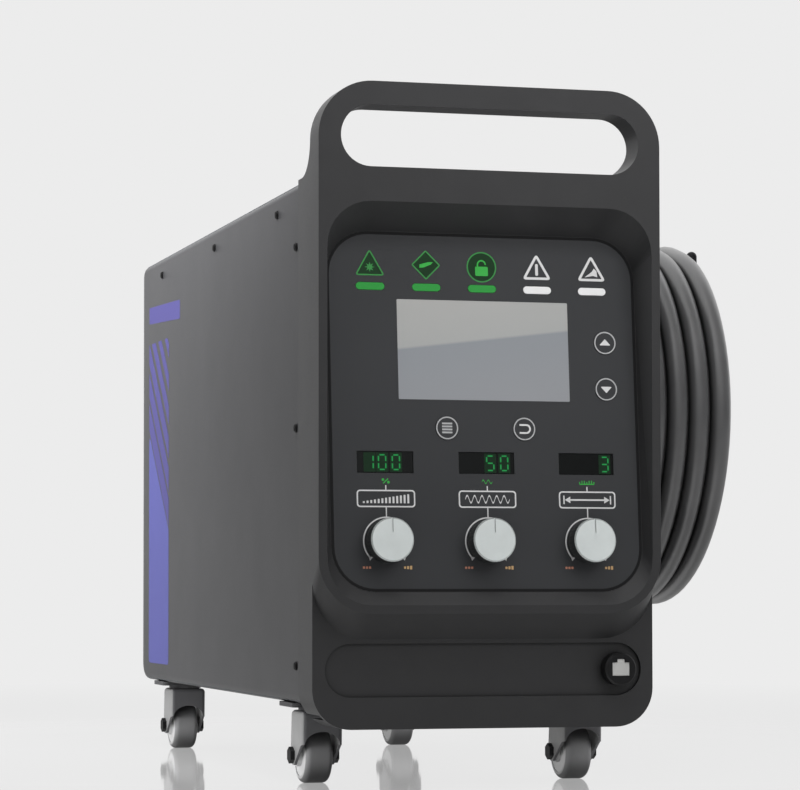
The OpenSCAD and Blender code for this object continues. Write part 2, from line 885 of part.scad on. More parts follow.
// Screws of the side panels, drawn for the right side with their heads towards +X
module screw_places() {
    for (y = top_screw_ys)
        translate([case_w / 2, case_front_y + y, case_top - top_screw_down]) children();
    for (z = front_screw_zs)
        translate([case_w / 2, case_front_y + front_screw_y, case_bottom + z]) children();
}

module screw_holes(d) {
    screw_places() translate([over, 0, 0]) rotate([0, -90, 0])
        cylinder(h = screw_l + 2 * over, d = d, $fn = 32);
}

module side_panel() {
    difference() {
        from_side(panel_in_x, sheet_t) case_outline(0);
        screw_holes(screw_d + 2 * fit_gap);
    }
}

module left_side_panel() in_place() color([0.20, 0.20, 0.22]) mirror([1, 0, 0]) side_panel();
module right_side_panel() in_place() color([0.20, 0.20, 0.22]) side_panel();

module panel_screws() in_place() color([0.06, 0.06, 0.06])
    for (side = [0, 1]) mirror([side, 0, 0]) screw_places() {
        rotate([0, 90, 0]) rotate_extrude($fn = 32) polygon([
            [0, 0], [screw_head_d / 2, 0], [screw_head_d / 2, screw_head_h / 2],
            [screw_head_d / 3, screw_head_h], [0, screw_head_h]]);
        translate([slice, 0, 0]) rotate([0, -90, 0]) cylinder(h = screw_l, d = screw_d, $fn = 32);
    }

// Inner frame of angle section
module angle_sketch() {
    square([angle_leg, angle_t]);
    square([angle_t, angle_leg]);
}

module frame_side() {
    rail_l = case_depth - rear_bottom_r;
    low_z = case_bottom + sheet_t;
    high_z = case_top - sheet_t;
    post_low = case_bottom + rear_bottom_r;
    post_high = case_top - rear_bottom_r;
    translate([panel_in_x, case_front_y, high_z]) rotate([0, 180, 0]) rotate([-90, -90, 0])
        linear_extrude(rail_l) angle_sketch();
    translate([panel_in_x, case_front_y, low_z]) rotate([0, -90, 0]) rotate([-90, -90, 0])
        linear_extrude(rail_l) angle_sketch();
    translate([panel_in_x, case_front_y, low_z]) rotate([0, 0, 90])
        linear_extrude(high_z - low_z) angle_sketch();
    translate([panel_in_x, case_rear_y - sheet_t, post_low]) rotate([0, 0, 180])
        linear_extrude(post_high - post_low) angle_sketch();
}

module frame_cross(y, z) {
    translate([-panel_in_x, y, z]) cube([2 * panel_in_x, angle_t, angle_leg]);
}

module inner_frame() in_place() color([0.45, 0.46, 0.48]) {
    difference() {
        for (side = [0, 1]) mirror([side, 0, 0]) frame_side();
        for (side = [0, 1]) mirror([side, 0, 0]) screw_holes(screw_d + fit_gap);
    }
    rear_in_y = case_rear_y - sheet_t - angle_t;
    frame_cross(case_front_y, case_bottom + sheet_t);
    frame_cross(rear_in_y, case_top - rear_bottom_r - angle_leg);
    frame_cross(rear_in_y, case_bottom + rear_bottom_r);
}

// Cooling body with its fins hanging below the plate that the laser source sits on
module heat_sink() in_place() color([0.70, 0.71, 0.73]) {
    low_z = case_bottom + sheet_t + angle_t;
    fin_pitch = (sink_w - fin_t) / (fin_count - 1);
    translate([-sink_w / 2, case_front_y + inside_y, low_z + sink_h - sink_base_t])
        cube([sink_w, sink_l, sink_base_t]);
    for (fin = [0 : fin_count - 1])
        translate([-sink_w / 2 + fin * fin_pitch, case_front_y + inside_y, low_z - angle_t])
            cube([fin_t, sink_l, sink_h + angle_t - sink_base_t + slice]);
}

module laser_source() in_place() color([0.62, 0.63, 0.66])
    translate([0, case_front_y + inside_y + sink_l / 2,
               case_bottom + sheet_t + angle_t + sink_h])
        linear_extrude(source_h) round_plate(source_w, source_l, source_r);

// Power supply with a row of air slots across its lid
module power_supply() in_place() color([0.75, 0.76, 0.77])
    translate([0, case_front_y + inside_y + sink_l / 2,
               case_bottom + sheet_t + angle_t + sink_h + source_h]) difference() {
        translate([-supply_w / 2, -supply_l / 2, 0]) cube([supply_w, supply_l, supply_h]);
        for (slot = [0 : supply_slot_count - 1])
            translate([-supply_w / 4, supply_l / 8 + slot * 2 * supply_slot_w - supply_l / 2,
                       supply_h - supply_slot_w])
                cube([supply_w / 2, supply_slot_w, supply_slot_w + over]);
    }

// Fan: square frame with a round duct, a motor boss on four struts
module fan_frame() in_place() color([0.13, 0.13, 0.14])
    to_rear(0, case_rear_y - sheet_t - fan_depth, fan_z) difference() {
        union() {
            difference() {
                linear_extrude(fan_depth) round_plate(fan_w, fan_w, fan_corner_r);
                translate([0, 0, -over]) cylinder(h = fan_depth + 2 * over, d = duct_d);
            }
            for (strut = [0 : 3]) rotate(strut * 90 + 45)
                translate([-duct_d / 2 - over, -fan_strut_w / 2, 0])
                    cube([duct_d / 2 + over, fan_strut_w, fan_strut_t]);
            cylinder(h = fan_strut_t, d = fan_motor_d);
        }
        translate([0, 0, -over])
            cylinder(h = fan_strut_t + 2 * over, d = rotor_shaft_d + 2 * bearing_gap);
    }

// Blade of the rotor: a cambered section that flattens and widens towards the tip
function blade_section(r, chord, pitch, side) = [
    for (u = side > 0 ? blade_chord_shares : [for (k = [3 : -1 : 0]) blade_chord_shares[k]])
        let (along = u * chord,
             up = blade_camber_share * chord * (1 - 4 * u * u) + side * blade_t / 2,
             turn = (along * cos(pitch) - up * sin(pitch)) / r * 180 / PI)
        [r * cos(turn), r * sin(turn), along * sin(pitch) + up * cos(pitch)]];

module rotor_blade(root_r, tip_r) {
    sides = 2 * len(blade_chord_shares);
    points = [for (i = [0 : blade_stations - 1])
        let (part = i / (blade_stations - 1),
             r = root_r + part * (tip_r - root_r),
             chord = blade_root_chord + part * (blade_tip_chord - blade_root_chord),
             pitch = blade_root_pitch + part * (blade_tip_pitch - blade_root_pitch))
        each concat(blade_section(r, chord, pitch, 1), blade_section(r, chord, pitch, -1))];
    skin(points, blade_stations, sides);
}

// Rotor: hub with a chamfered face, cambered blades and the shaft that runs in the motor boss
module fan_rotor() in_place() color([0.10, 0.10, 0.11])
    to_rear(0, case_rear_y - sheet_t - fan_depth + fan_strut_t + rotor_gap, fan_z) {
        rotor_h = fan_depth - fan_strut_t - 2 * rotor_gap;
        hub_r = rotor_hub_d / 2;
        rotate_extrude() polygon([
            [0, 0], [hub_r, 0], [hub_r, rotor_h - dial_edge],
            [hub_r - dial_edge, rotor_h], [0, rotor_h]]);
        translate([0, 0, -rotor_shaft_l])
            cylinder(h = rotor_shaft_l + slice, d = rotor_shaft_d);
        for (blade = [0 : blade_count - 1]) rotate(blade * 360 / blade_count)
            translate([0, 0, rotor_h / 2])
                rotor_blade(hub_r - over, duct_d / 2 - rotor_tip_gap);
    }

// Wire guard outside the rear panel: rings welded on four flat bars with screw ears
module fan_guard() in_place() color([0.60, 0.61, 0.62])
    to_rear(0, case_rear_y, fan_z) {
        reach = duct_d / 2 + guard_wire_d;
        ear = (fan_w / 2 - fan_corner_r) * sqrt(2);
        step = (reach - guard_disc_d / 2) / guard_ring_count;
        for (ring = [1 : guard_ring_count])
            rotate_extrude($fn = 48)
                translate([guard_disc_d / 2 + ring * step,
                           guard_bar_t + guard_wire_d * guard_stack_share])
                    circle(d = guard_wire_d, $fn = 16);
        for (bar = [0, 1]) rotate(bar * 90 + 45) linear_extrude(guard_bar_t) {
            square([2 * ear, guard_bar_w], center = true);
            for (side = [-1, 1]) translate([side * ear, 0]) circle(d = guard_ear_d);
        }
        cylinder(h = guard_bar_t + guard_wire_d / 2, d = guard_disc_d);
    }

// Breaker in the rear panel: its lever turns about a cross pin in the body
module at_breaker() {
    translate([breaker_x, case_rear_y + breaker_out - lever_hub_d / 2 + lever_air,
               case_bottom + breaker_up]) children();
}

module breaker_body() in_place() color([0.85, 0.85, 0.82]) difference() {
    union() {
        from_front(case_rear_y - breaker_in, breaker_in + breaker_out)
            translate([breaker_x, case_bottom + breaker_up])
                square([breaker_w, breaker_h], center = true);
        from_front(case_rear_y, breaker_out / 2)
            translate([breaker_x, case_bottom + breaker_up])
                square([breaker_w + 2 * breaker_rim, breaker_h + 2 * breaker_rim], center = true);
    }
    at_breaker() rotate([0, 90, 0]) {
        cylinder(h = lever_w + 2 * lever_air, d = lever_hub_d + 2 * lever_air, center = true);
        cylinder(h = lever_w + 2 * lever_pin_l + 2 * lever_air,
                 d = lever_pin_d + 2 * bearing_gap, center = true);
    }
    at_breaker() translate([-lever_w / 2 - lever_air, 0, -lever_slot_h / 2])
        cube([lever_w + 2 * lever_air, lever_hub_d, lever_slot_h]);
}

module breaker_lever() in_place() color([0.05, 0.05, 0.06]) at_breaker()
    rotate([-lever_rest, 0, 0]) {
        rotate([0, 90, 0]) {
            cylinder(h = lever_w, d = lever_hub_d, center = true);
            cylinder(h = lever_w + 2 * lever_pin_l, d = lever_pin_d, center = true);
        }
        translate([-lever_w / 2, 0, -lever_tab_t / 2]) cube([lever_w, lever_tab_l, lever_tab_t]);
    }

// Mains gland: hexagon, domed cap and a threaded tail through the panel
module mains_gland() in_place() color([0.08, 0.08, 0.08])
    to_rear(gland_x, case_rear_y, case_bottom + gland_up) difference() {
        union() {
            hex(gland_hex_d, gland_hex_t);
            rotate_extrude() polygon([
                [0, 0], [gland_dome_d / 2, 0], [gland_dome_d / 2, gland_l - front_wall],
                [gland_bore_d / 2 + front_wall / 2, gland_l], [0, gland_l]]);
            translate([0, 0, -gland_tail_l])
                cylinder(h = gland_tail_l + slice, d = gland_bore_d + 2 * front_wall);
        }
        translate([0, 0, -gland_tail_l - over])
            cylinder(h = gland_tail_l + gland_l + 2 * over, d = gland_bore_d);
    }

// Gas inlet: hexagon, barbed spout and a tail through the panel
module gas_inlet() in_place() color([0.78, 0.62, 0.28])
    to_rear(gas_x, case_rear_y, case_bottom + gas_up) difference() {
        union() {
            hex(gas_hex_d, gas_hex_t);
            translate([0, 0, gas_hex_t - slice])
                for (barb = [0 : gas_barb_count - 1]) translate([0, 0, barb * gas_barb_h])
                    cylinder(h = gas_barb_h + slice, d1 = gas_barb_d, d2 = gas_neck_d);
            translate([0, 0, -gas_tail_l])
                cylinder(h = gas_tail_l + slice, d = gas_bore_d + 2 * front_wall);
        }
        translate([0, 0, -gas_tail_l - over])
            cylinder(h = gas_tail_l + gas_hex_t + gas_barb_count * gas_barb_h + 2 * over,
                     d = gas_bore_d);
    }

// Earth stud with its washer and nut
module earth_stud() in_place() color([0.74, 0.72, 0.66])
    to_rear(stud_x, case_rear_y, case_bottom + stud_up) {
        translate([0, 0, -stud_tail_l]) cylinder(h = stud_tail_l + stud_l, d = stud_d);
        cylinder(h = stud_washer_t, d = stud_washer_d);
        translate([0, 0, stud_washer_t - slice]) hex(stud_nut_d, stud_nut_t);
    }

// Outlet housing on the right side panel, with the ribbed collar that the hose leaves downwards
outlet_y = coil_y + coil_r;
collar_low = coil_z + lead_l;
lead_x = coil_x - lead_l * coil_pitch / (2 * PI * coil_r);

module hose_gland() in_place() color([0.07, 0.07, 0.07]) {
    from_side(case_w / 2, outlet_t)
        translate([outlet_y, collar_low + collar_l + outlet_h / 2])
            round_plate(outlet_w, outlet_h, outlet_r);
    rib_pitch = collar_l / collar_rib_count;
    intersection() {
        translate([lead_x, outlet_y, collar_low]) difference() {
            cylinder(h = collar_l + slice, d1 = collar_tip_d, d2 = collar_d);
            for (rib = [0 : collar_rib_count - 1])
                translate([0, 0, (rib + 0.5) * rib_pitch]) rotate_extrude()
                    translate([collar_tip_d / 2 + (rib + 0.5) * (collar_d - collar_tip_d)
                               / (2 * collar_rib_count), 0])
                        square(collar_groove, center = true);
        }
        translate([case_w / 2, outlet_y - collar_d, collar_low])
            cube([case_w, 2 * collar_d, 2 * collar_l]);
    }
}

// Hooks that the coil hangs on: rods that turn up past the outermost turn
module hose_hook(side) {
    inner_r = coil_r * cos(180 / coil_steps) - hose_d / 2 - hook_d / 2 - fit_gap;
    y = coil_y + side * inner_r * sin(hook_angle);
    z = coil_z + inner_r * cos(hook_angle);
    rod_l = hook_x - hook_bend_r - case_w / 2;
    translate([case_w / 2, y, z]) {
        rotate([0, 90, 0]) cylinder(h = hook_flange_t, d = hook_flange_d);
        rotate([0, 90, 0]) cylinder(h = rod_l, d = hook_d);
        translate([rod_l, 0, hook_bend_r]) rotate([90, 90, 0])
            rotate_extrude(angle = 90) translate([hook_bend_r, 0]) circle(d = hook_d);
        translate([rod_l + hook_bend_r, 0, hook_bend_r]) {
            cylinder(h = hook_tip_up - hook_bend_r, d = hook_d);
            translate([0, 0, hook_tip_up - hook_bend_r]) sphere(d = hook_d);
        }
    }
}

module hose_hooks() in_place() color([0.06, 0.06, 0.06])
    for (side = [-1, 1]) hose_hook(side);

// Closed skin over rings of points that lie one after the other
module skin(points, rings, sides) {
    walls = [for (i = [0 : rings - 2], k = [0 : sides - 1])
        let (a = i * sides + k, b = i * sides + (k + 1) % sides)
        each [[a, b, b + sides], [a, b + sides, a + sides]]];
    start_cap = [for (k = [1 : sides - 2]) [0, k + 1, k]];
    end_base = (rings - 1) * sides;
    end_cap = [for (k = [1 : sides - 2]) [end_base, end_base + k, end_base + k + 1]];
    polyhedron(points = points, faces = concat(start_cap, walls, end_cap));
}

// Tube swept along a list of points
coil_steps = 24;
coil_sides = 6;
tail_sides = 8;

function unit(v) = v / norm(v);

function way_at(path, i) =
    i == 0 ? unit(path[1] - path[0])
    : i == len(path) - 1 ? unit(path[i] - path[i - 1])
    : unit(unit(path[i + 1] - path[i]) + unit(path[i] - path[i - 1]));

function ring_at(path, i, r, sides) =
    let (way = way_at(path, i),
         across = unit(cross(way, [1, 0, 0])),
         beside = cross(way, across))
    [for (k = [0 : sides - 1])
        path[i] + r * (cos(k * 360 / sides) * across + sin(k * 360 / sides) * beside)];

module tube(path, r, sides) {
    rings = len(path);
    points = [for (i = [0 : rings - 1]) each ring_at(path, i, r, sides)];
    skin(points, rings, sides);
}

// The coil climbs away from the side panel: down at the rear, forward below, up in front
function coil_point(angle) = [
    coil_x + coil_pitch * angle / 360,
    coil_y + coil_r * cos(angle),
    coil_z - coil_r * sin(angle)];

// It starts below the outlet and ends at its top with a short straight stub
coil_end = coil_turns * 360;
coil_end_way = unit([coil_pitch / (2 * PI), coil_r, 0]);
stub_l = hose_d / 4;

coil_path = concat(
    [[lead_x, outlet_y, collar_low], [lead_x, outlet_y, collar_low - hose_d]],
    [for (i = [0 : coil_turns * coil_steps]) coil_point(i * 360 / coil_steps)],
    [coil_point(coil_end) + stub_l * coil_end_way]);

// The free stretch keeps the coil's slope up to the bend and then swings in over the torch
leave_x = coil_x + coil_pitch * (coil_turns + leave_angle / 360);
tail_slope = coil_pitch / (2 * PI * coil_r);
bend_x = leave_x + tail_slope * tail_run;
bend_l = tail_bend_r * (90 - leave_angle) * PI / 180;

function bend_point(part) =
    let (angle = leave_angle + part * (90 - leave_angle),
         eased = part * part * (3 - 2 * part))
    [bend_x + tail_slope * bend_l * part * (1 - part) * (1 - part) + (torch_x - bend_x) * eased,
     leave_y + tail_run * cos(leave_angle) + tail_bend_r * (sin(angle) - sin(leave_angle)),
     leave_z - tail_run * sin(leave_angle) - tail_bend_r * (cos(leave_angle) - cos(angle))];

hose_tail_points = concat(
    [coil_point(coil_end) + stub_l * coil_end_way, coil_point(coil_end) + 2 * stub_l * coil_end_way],
    [for (i = [1 : leave_steps]) coil_point(coil_end + i * leave_angle / leave_steps)],
    [for (i = [1 : tail_run_steps]) let (run = i * tail_run / tail_run_steps)
        [leave_x + tail_slope * run, leave_y + run * cos(leave_angle), leave_z - run * sin(leave_angle)]],
    [for (i = [1 : tail_bend_steps]) bend_point(i / tail_bend_steps)],
    [[torch_x, torch_y, torch_top]]);

function coil_gap(path) = min([
    for (i = [0 : len(path) - 1], j = [i + coil_steps / 2 : 1 : len(path) - 1])
        norm(path[i] - path[j])]) - hose_d;

module hose_coil() in_place() color([0.30, 0.30, 0.30]) {
    echo(least_gap_of_coil = coil_gap(coil_path));
    tube(coil_path, hose_d / 2, coil_sides);
}

module hose_tail() in_place() color([0.30, 0.30, 0.30])
    tube(hose_tail_points, hose_d / 2, tail_sides);

// Torch, hanging nozzle down in its cradle
module at_torch(z) {
    translate([torch_x, torch_y, z]) children();
}

torch_low = torch_top - torch_l;
trigger_z = torch_low + head_l + neck_l + trigger_pin_up;

module torch_body() in_place() color([0.12, 0.12, 0.13]) {
    grip_r = grip_d / 2;
    grip_low = head_l + neck_l;
    grip_high = torch_l - sleeve_l - sleeve_cone_l;
    difference() {
        at_torch(torch_low) rotate_extrude() polygon([
            [0, 0], [head_d / 2 - dial_edge, 0], [head_d / 2, dial_edge],
            [head_d / 2, head_l - neck_l], [grip_r, grip_low],
            [waist_d / 2, (grip_low + grip_high) / 2], [grip_r - dial_edge, grip_high],
            [sleeve_d / 2, torch_l - sleeve_l], [collar_tip_d / 2, torch_l], [0, torch_l]]);
        at_torch(torch_low + grip_low + trigger_heel)
            translate([trigger_slot_floor, -trigger_slot_w / 2, 0])
                cube([grip_d, trigger_slot_w, trigger_l + trigger_pin_up]);
    }
    at_torch(trigger_z) translate([trigger_pin_out, 0, 0]) rotate([90, 0, 0])
        cylinder(h = trigger_slot_w + 2 * over, d = trigger_pin_d, center = true);
}

// Trigger: lever on the cross pin at its lower end
module torch_trigger() in_place() color([0.65, 0.10, 0.08])
    at_torch(trigger_z) difference() {
        rotate([90, 0, 0]) translate([0, 0, -trigger_w / 2]) linear_extrude(trigger_w) union() {
            translate([trigger_pin_out, 0]) circle(d = trigger_pin_d + 2 * trigger_heel - over);
            polygon([[trigger_in, 0], [trigger_pin_out + trigger_heel, 0],
                     [trigger_out, trigger_l / 2], [trigger_out, trigger_l - over],
                     [trigger_out - over, trigger_l], [trigger_in, trigger_l]]);
        }
        translate([trigger_pin_out, 0, 0]) rotate([90, 0, 0])
            cylinder(h = trigger_w + 2 * over, d = trigger_pin_d + 2 * bearing_gap,
                     center = true);
    }

module torch_nozzle() in_place() color([0.76, 0.48, 0.30])
    at_torch(torch_low - nozzle_l) difference() {
        rotate_extrude() polygon([
            [0, 0], [nozzle_tip_d / 2, 0], [nozzle_tip_d / 2, nozzle_ring_l],
            [nozzle_d / 2 - dial_edge, nozzle_tip_l], [nozzle_d / 2, nozzle_tip_l + dial_edge],
            [nozzle_d / 2, nozzle_l], [0, nozzle_l]]);
        translate([0, 0, -over]) cylinder(h = nozzle_l + 2 * over, d = nozzle_bore_d);
    }

module torch_cradle() in_place() color([0.10, 0.10, 0.11]) difference() {
    union() {
        from_side(case_w / 2, cradle_plate_t)
            translate([torch_y, torch_low - cradle_ring_h])
                round_plate(cradle_plate_w, cradle_plate_h, cradle_r);
        translate([case_w / 2, torch_y - cradle_arm_w / 2, torch_low - cradle_ring_h])
            cube([torch_x - case_w / 2, cradle_arm_w, cradle_ring_h]);
        at_torch(torch_low - cradle_ring_h)
            cylinder(h = cradle_ring_h, d = nozzle_d + 2 * cradle_gap + 2 * cradle_ring_t);
    }
    at_torch(torch_low - cradle_ring_h - over)
        cylinder(h = cradle_ring_h + 2 * over, d = nozzle_d + 2 * cradle_gap);
}

// Casters
race_z = caster_h - plate_t - race_t;

module at_caster(side, end) {
    translate([side * track / 2, front_axle_y - caster_trail + end * wheelbase, 0]) children();
}

module caster_plates() in_place() color([0.55, 0.56, 0.58])
    for (side = [-1, 1], end = [0, 1]) at_caster(side, end) {
        translate([0, 0, caster_h - plate_t]) linear_extrude(plate_t)
            round_plate(plate_w, plate_w, plate_r);
        translate([0, 0, race_z]) difference() {
            cylinder(h = race_t + slice, d = race_d);
            translate([0, 0, -over])
                cylinder(h = race_t + over, d = kingpin_d + 2 * bearing_gap);
        }
    }

// Fork: stamped hood with two cheeks, open below and with an arch towards the front
module fork_profile() {
    crown = race_z - race_gap;
    hull() {
        translate([-fork_top_l / 2, crown - fork_crown_t]) square([fork_top_l, fork_crown_t]);
        translate([caster_trail, wheel_d / 2]) circle(d = fork_foot_l, $fn = 32);
    }
}

module caster_fork(side, end) in_place() color([0.28, 0.28, 0.29]) at_caster(side, end) {
    crown = race_z - race_gap;
    inner_w = fork_w - 2 * fork_t;
    difference() {
        from_side(-fork_w / 2, fork_w) fork_profile();
        translate([-inner_w / 2, -fork_top_l / 2 + fork_t, -over])
            cube([inner_w, fork_top_l + wheel_d, crown - fork_crown_t + over]);
        translate([0, -fork_top_l, fork_arch_h]) rotate([-90, 0, 0])
            cylinder(h = fork_top_l, d = inner_w);
        translate([-inner_w / 2, -fork_top_l, -over]) cube([inner_w, fork_top_l, fork_arch_h + over]);
        translate([0, caster_trail, wheel_d / 2]) rotate([0, 90, 0])
            cylinder(h = fork_w + 2 * over, d = axle_d + 2 * bearing_gap, center = true);
    }
    translate([0, 0, crown - slice]) cylinder(h = race_t, d = kingpin_d);
}

// Axle bolt with its head and nut outside the fork
module caster_axle(side, end) in_place() color([0.12, 0.12, 0.12]) at_caster(side, end)
    translate([0, caster_trail, wheel_d / 2]) rotate([0, 90, 0]) {
        cylinder(h = fork_w + 2 * slice, d = axle_d, center = true);
        for (end_side = [0, 1]) mirror([0, 0, end_side])
            translate([0, 0, fork_w / 2]) hex(nut_head_d, nut_head_t);
    }

// Hub: dished wheel body whose bosses reach the fork's cheeks
module caster_hub(side, end) in_place() color([0.75, 0.75, 0.75]) at_caster(side, end)
    translate([0, caster_trail, wheel_d / 2]) rotate([0, 90, 0]) rotate_extrude() {
        boss = fork_w / 2 - fork_t - fit_gap;
        half = wheel_w / 2;
        rim_r = wheel_d / 2 - tread_t;
        polygon([
            [axle_d / 2 + bearing_gap, -boss], [hub_d / 2, -boss], [hub_d / 2, hub_dish - half],
            [rim_r - rim_side_gap, hub_dish - half], [rim_r - rim_side_gap, -half],
            [rim_r, -half], [rim_r, half], [rim_r - rim_side_gap, half],
            [rim_r - rim_side_gap, half - hub_dish], [hub_d / 2, half - hub_dish],
            [hub_d / 2, boss], [axle_d / 2 + bearing_gap, boss]]);
    }

// Tyre: tread with rounded shoulders
module caster_tyre(side, end) in_place() color([0.33, 0.33, 0.34]) at_caster(side, end)
    translate([0, caster_trail, wheel_d / 2]) rotate([0, 90, 0]) rotate_extrude() {
        half = wheel_w / 2;
        rim_r = wheel_d / 2 - tread_t;
        outer_r = wheel_d / 2;
        translate([rim_r, -half]) square([tread_t - tread_crown, wheel_w]);
        translate([rim_r, -half + tread_crown]) square([tread_t, wheel_w - 2 * tread_crown]);
        for (edge = [-1, 1]) intersection() {
            translate([outer_r - tread_crown, edge * (half - tread_crown)])
                circle(tread_crown, $fn = 48);
            translate([rim_r, -half]) square([tread_t, wheel_w]);
        }
    }

module front_left_fork() caster_fork(-1, 0);
module front_left_axle() caster_axle(-1, 0);
module front_left_hub() caster_hub(-1, 0);
module front_left_tyre() caster_tyre(-1, 0);
module front_right_fork() caster_fork(1, 0);
module front_right_axle() caster_axle(1, 0);
module front_right_hub() caster_hub(1, 0);
module front_right_tyre() caster_tyre(1, 0);
module rear_left_fork() caster_fork(-1, 1);
module rear_left_axle() caster_axle(-1, 1);
module rear_left_hub() caster_hub(-1, 1);
module rear_left_tyre() caster_tyre(-1, 1);
module rear_right_fork() caster_fork(1, 1);
module rear_right_axle() caster_axle(1, 1);
module rear_right_hub() caster_hub(1, 1);
module rear_right_tyre() caster_tyre(1, 1);

front_bezel();
control_fascia();
screen_glass();
display_module();
readout_modules();
indicator_lenses();
control_board();
potentiometers();
power_knob();
frequency_knob();
length_knob();
key_up();
key_down();
key_menu();
key_back();
service_port();
port_insert();
base_tray();
left_side_panel();
right_side_panel();
top_cover();
rear_panel();
panel_screws();
inner_frame();
heat_sink();
laser_source();
power_supply();
fan_frame();
fan_rotor();
fan_guard();
breaker_body();
breaker_lever();
mains_gland();
gas_inlet();
earth_stud();
hose_gland();
hose_hooks();
hose_coil();
hose_tail();
torch_body();
torch_nozzle();
torch_trigger();
torch_cradle();
caster_plates();
front_left_fork();
front_left_axle();
front_left_hub();
front_left_tyre();
front_right_fork();
front_right_axle();
front_right_hub();
front_right_tyre();
rear_left_fork();
rear_left_axle();
rear_left_hub();
rear_left_tyre();
rear_right_fork();
rear_right_axle();
rear_right_hub();
rear_right_tyre();
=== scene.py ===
import json
import math

import bmesh
import bpy
from mathutils import Matrix, Vector

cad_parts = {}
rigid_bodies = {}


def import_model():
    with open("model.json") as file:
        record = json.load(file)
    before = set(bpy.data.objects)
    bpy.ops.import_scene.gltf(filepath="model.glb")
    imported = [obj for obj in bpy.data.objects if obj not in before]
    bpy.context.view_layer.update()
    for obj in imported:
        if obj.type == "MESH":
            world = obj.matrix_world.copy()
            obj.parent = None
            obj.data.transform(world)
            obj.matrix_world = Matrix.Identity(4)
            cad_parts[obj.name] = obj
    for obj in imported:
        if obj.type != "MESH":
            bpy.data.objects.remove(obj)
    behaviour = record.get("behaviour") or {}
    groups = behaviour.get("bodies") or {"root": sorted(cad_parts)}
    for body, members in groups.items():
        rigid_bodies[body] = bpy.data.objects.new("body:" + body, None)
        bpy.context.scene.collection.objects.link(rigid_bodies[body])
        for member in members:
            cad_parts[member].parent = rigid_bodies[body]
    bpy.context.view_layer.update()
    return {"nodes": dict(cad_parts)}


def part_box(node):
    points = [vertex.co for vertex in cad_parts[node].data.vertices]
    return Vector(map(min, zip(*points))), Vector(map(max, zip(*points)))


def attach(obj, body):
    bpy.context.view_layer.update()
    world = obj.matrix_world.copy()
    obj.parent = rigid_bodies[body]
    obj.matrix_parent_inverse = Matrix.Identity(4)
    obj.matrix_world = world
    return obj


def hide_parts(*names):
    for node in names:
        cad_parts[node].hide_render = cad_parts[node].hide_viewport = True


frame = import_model()
nodes = frame["nodes"]

# Places are written in millimetres, from the middle of the front and the face of its raised frame
front_low, front_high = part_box("front_bezel")
zero_x = (front_low.x + front_high.x) / 2
zero_y = front_low.y


def at(x, y, z):
    return Vector((zero_x + x / 1000, zero_y + y / 1000, z / 1000))


def mm(value):
    return value / 1000


# Camera, fitted to the edges of the front and the case in the photo
photo_width = 800
focal_pixels = 2921
sensor_width = 36
camera_data = bpy.data.cameras.new("camera")
camera = bpy.data.objects.new("camera", camera_data)
bpy.context.scene.collection.objects.link(camera)
camera_data.sensor_width = sensor_width
camera_data.lens = focal_pixels / photo_width * sensor_width
camera_data.shift_x = 0.1
camera_data.shift_y = 0.1
camera_data.clip_start = 0.1
camera_data.clip_end = 60
yaw = math.radians(14.35)
pitch = math.radians(2.15)
camera.location = at(-765, -2393, 177)
sight = Vector((math.sin(yaw) * math.cos(pitch), math.cos(yaw) * math.cos(pitch), math.sin(pitch)))
camera.rotation_mode = "QUATERNION"
camera.rotation_quaternion = sight.to_track_quat("-Z", "Y")
bpy.context.scene.camera = camera


# Materials
def srgb(r, g, b):
    """Linear colour of an sRGB colour given from 0 to 255."""
    out = []
    for c in (r, g, b):
        c = c / 255
        out.append(c / 12.92 if c <= 0.04045 else ((c + 0.055) / 1.055) ** 2.4)
    return out


class Tree:
    """Short names for what makes and links the nodes of a tree."""

    def __init__(self, tree):
        self.tree = tree

    def add(self, kind, **values):
        node = self.tree.nodes.new(kind)
        for key, value in values.items():
            setattr(node, key, value)
        return node

    def link(self, a, b):
        self.tree.links.new(a, b)

    def parts(self, vector):
        """The X, Y and Z outputs of a vector."""
        node = self.add("ShaderNodeSeparateXYZ")
        self.link(vector, node.inputs["Vector"])
        return node.outputs

    def span(self, source, low, high, start=0.0, end=1.0, how="LINEAR"):
        """From low to high while the source goes from start to end."""
        node = self.add("ShaderNodeMapRange", interpolation_type=how)
        node.inputs["From Min"].default_value = start
        node.inputs["From Max"].default_value = end
        node.inputs["To Min"].default_value = low
        node.inputs["To Max"].default_value = high
        self.link(source, node.inputs["Value"])
        return node.outputs["Result"]

    def math(self, how, a, b):
        """A sum, product or the like of two sockets or numbers."""
        node = self.add("ShaderNodeMath", operation=how)
        for socket, value in zip(node.inputs, (a, b)):
            if isinstance(value, (int, float)):
                socket.default_value = value
            else:
                self.link(value, socket)
        return node.outputs["Value"]

    def weighed(self, share, first, second):
        """Two values, mixed by a share of the second."""
        rest = self.math("SUBTRACT", 1.0, share)
        return self.math("ADD", self.math("MULTIPLY", second, share), self.math("MULTIPLY", first, rest))

    def mixed(self, share, first, second):
        """Two shaders, mixed by a share of the second."""
        node = self.add("ShaderNodeMixShader")
        for socket, source in zip(node.inputs, (share, first, second)):
            self.link(source, socket)
        return node.outputs["Shader"]


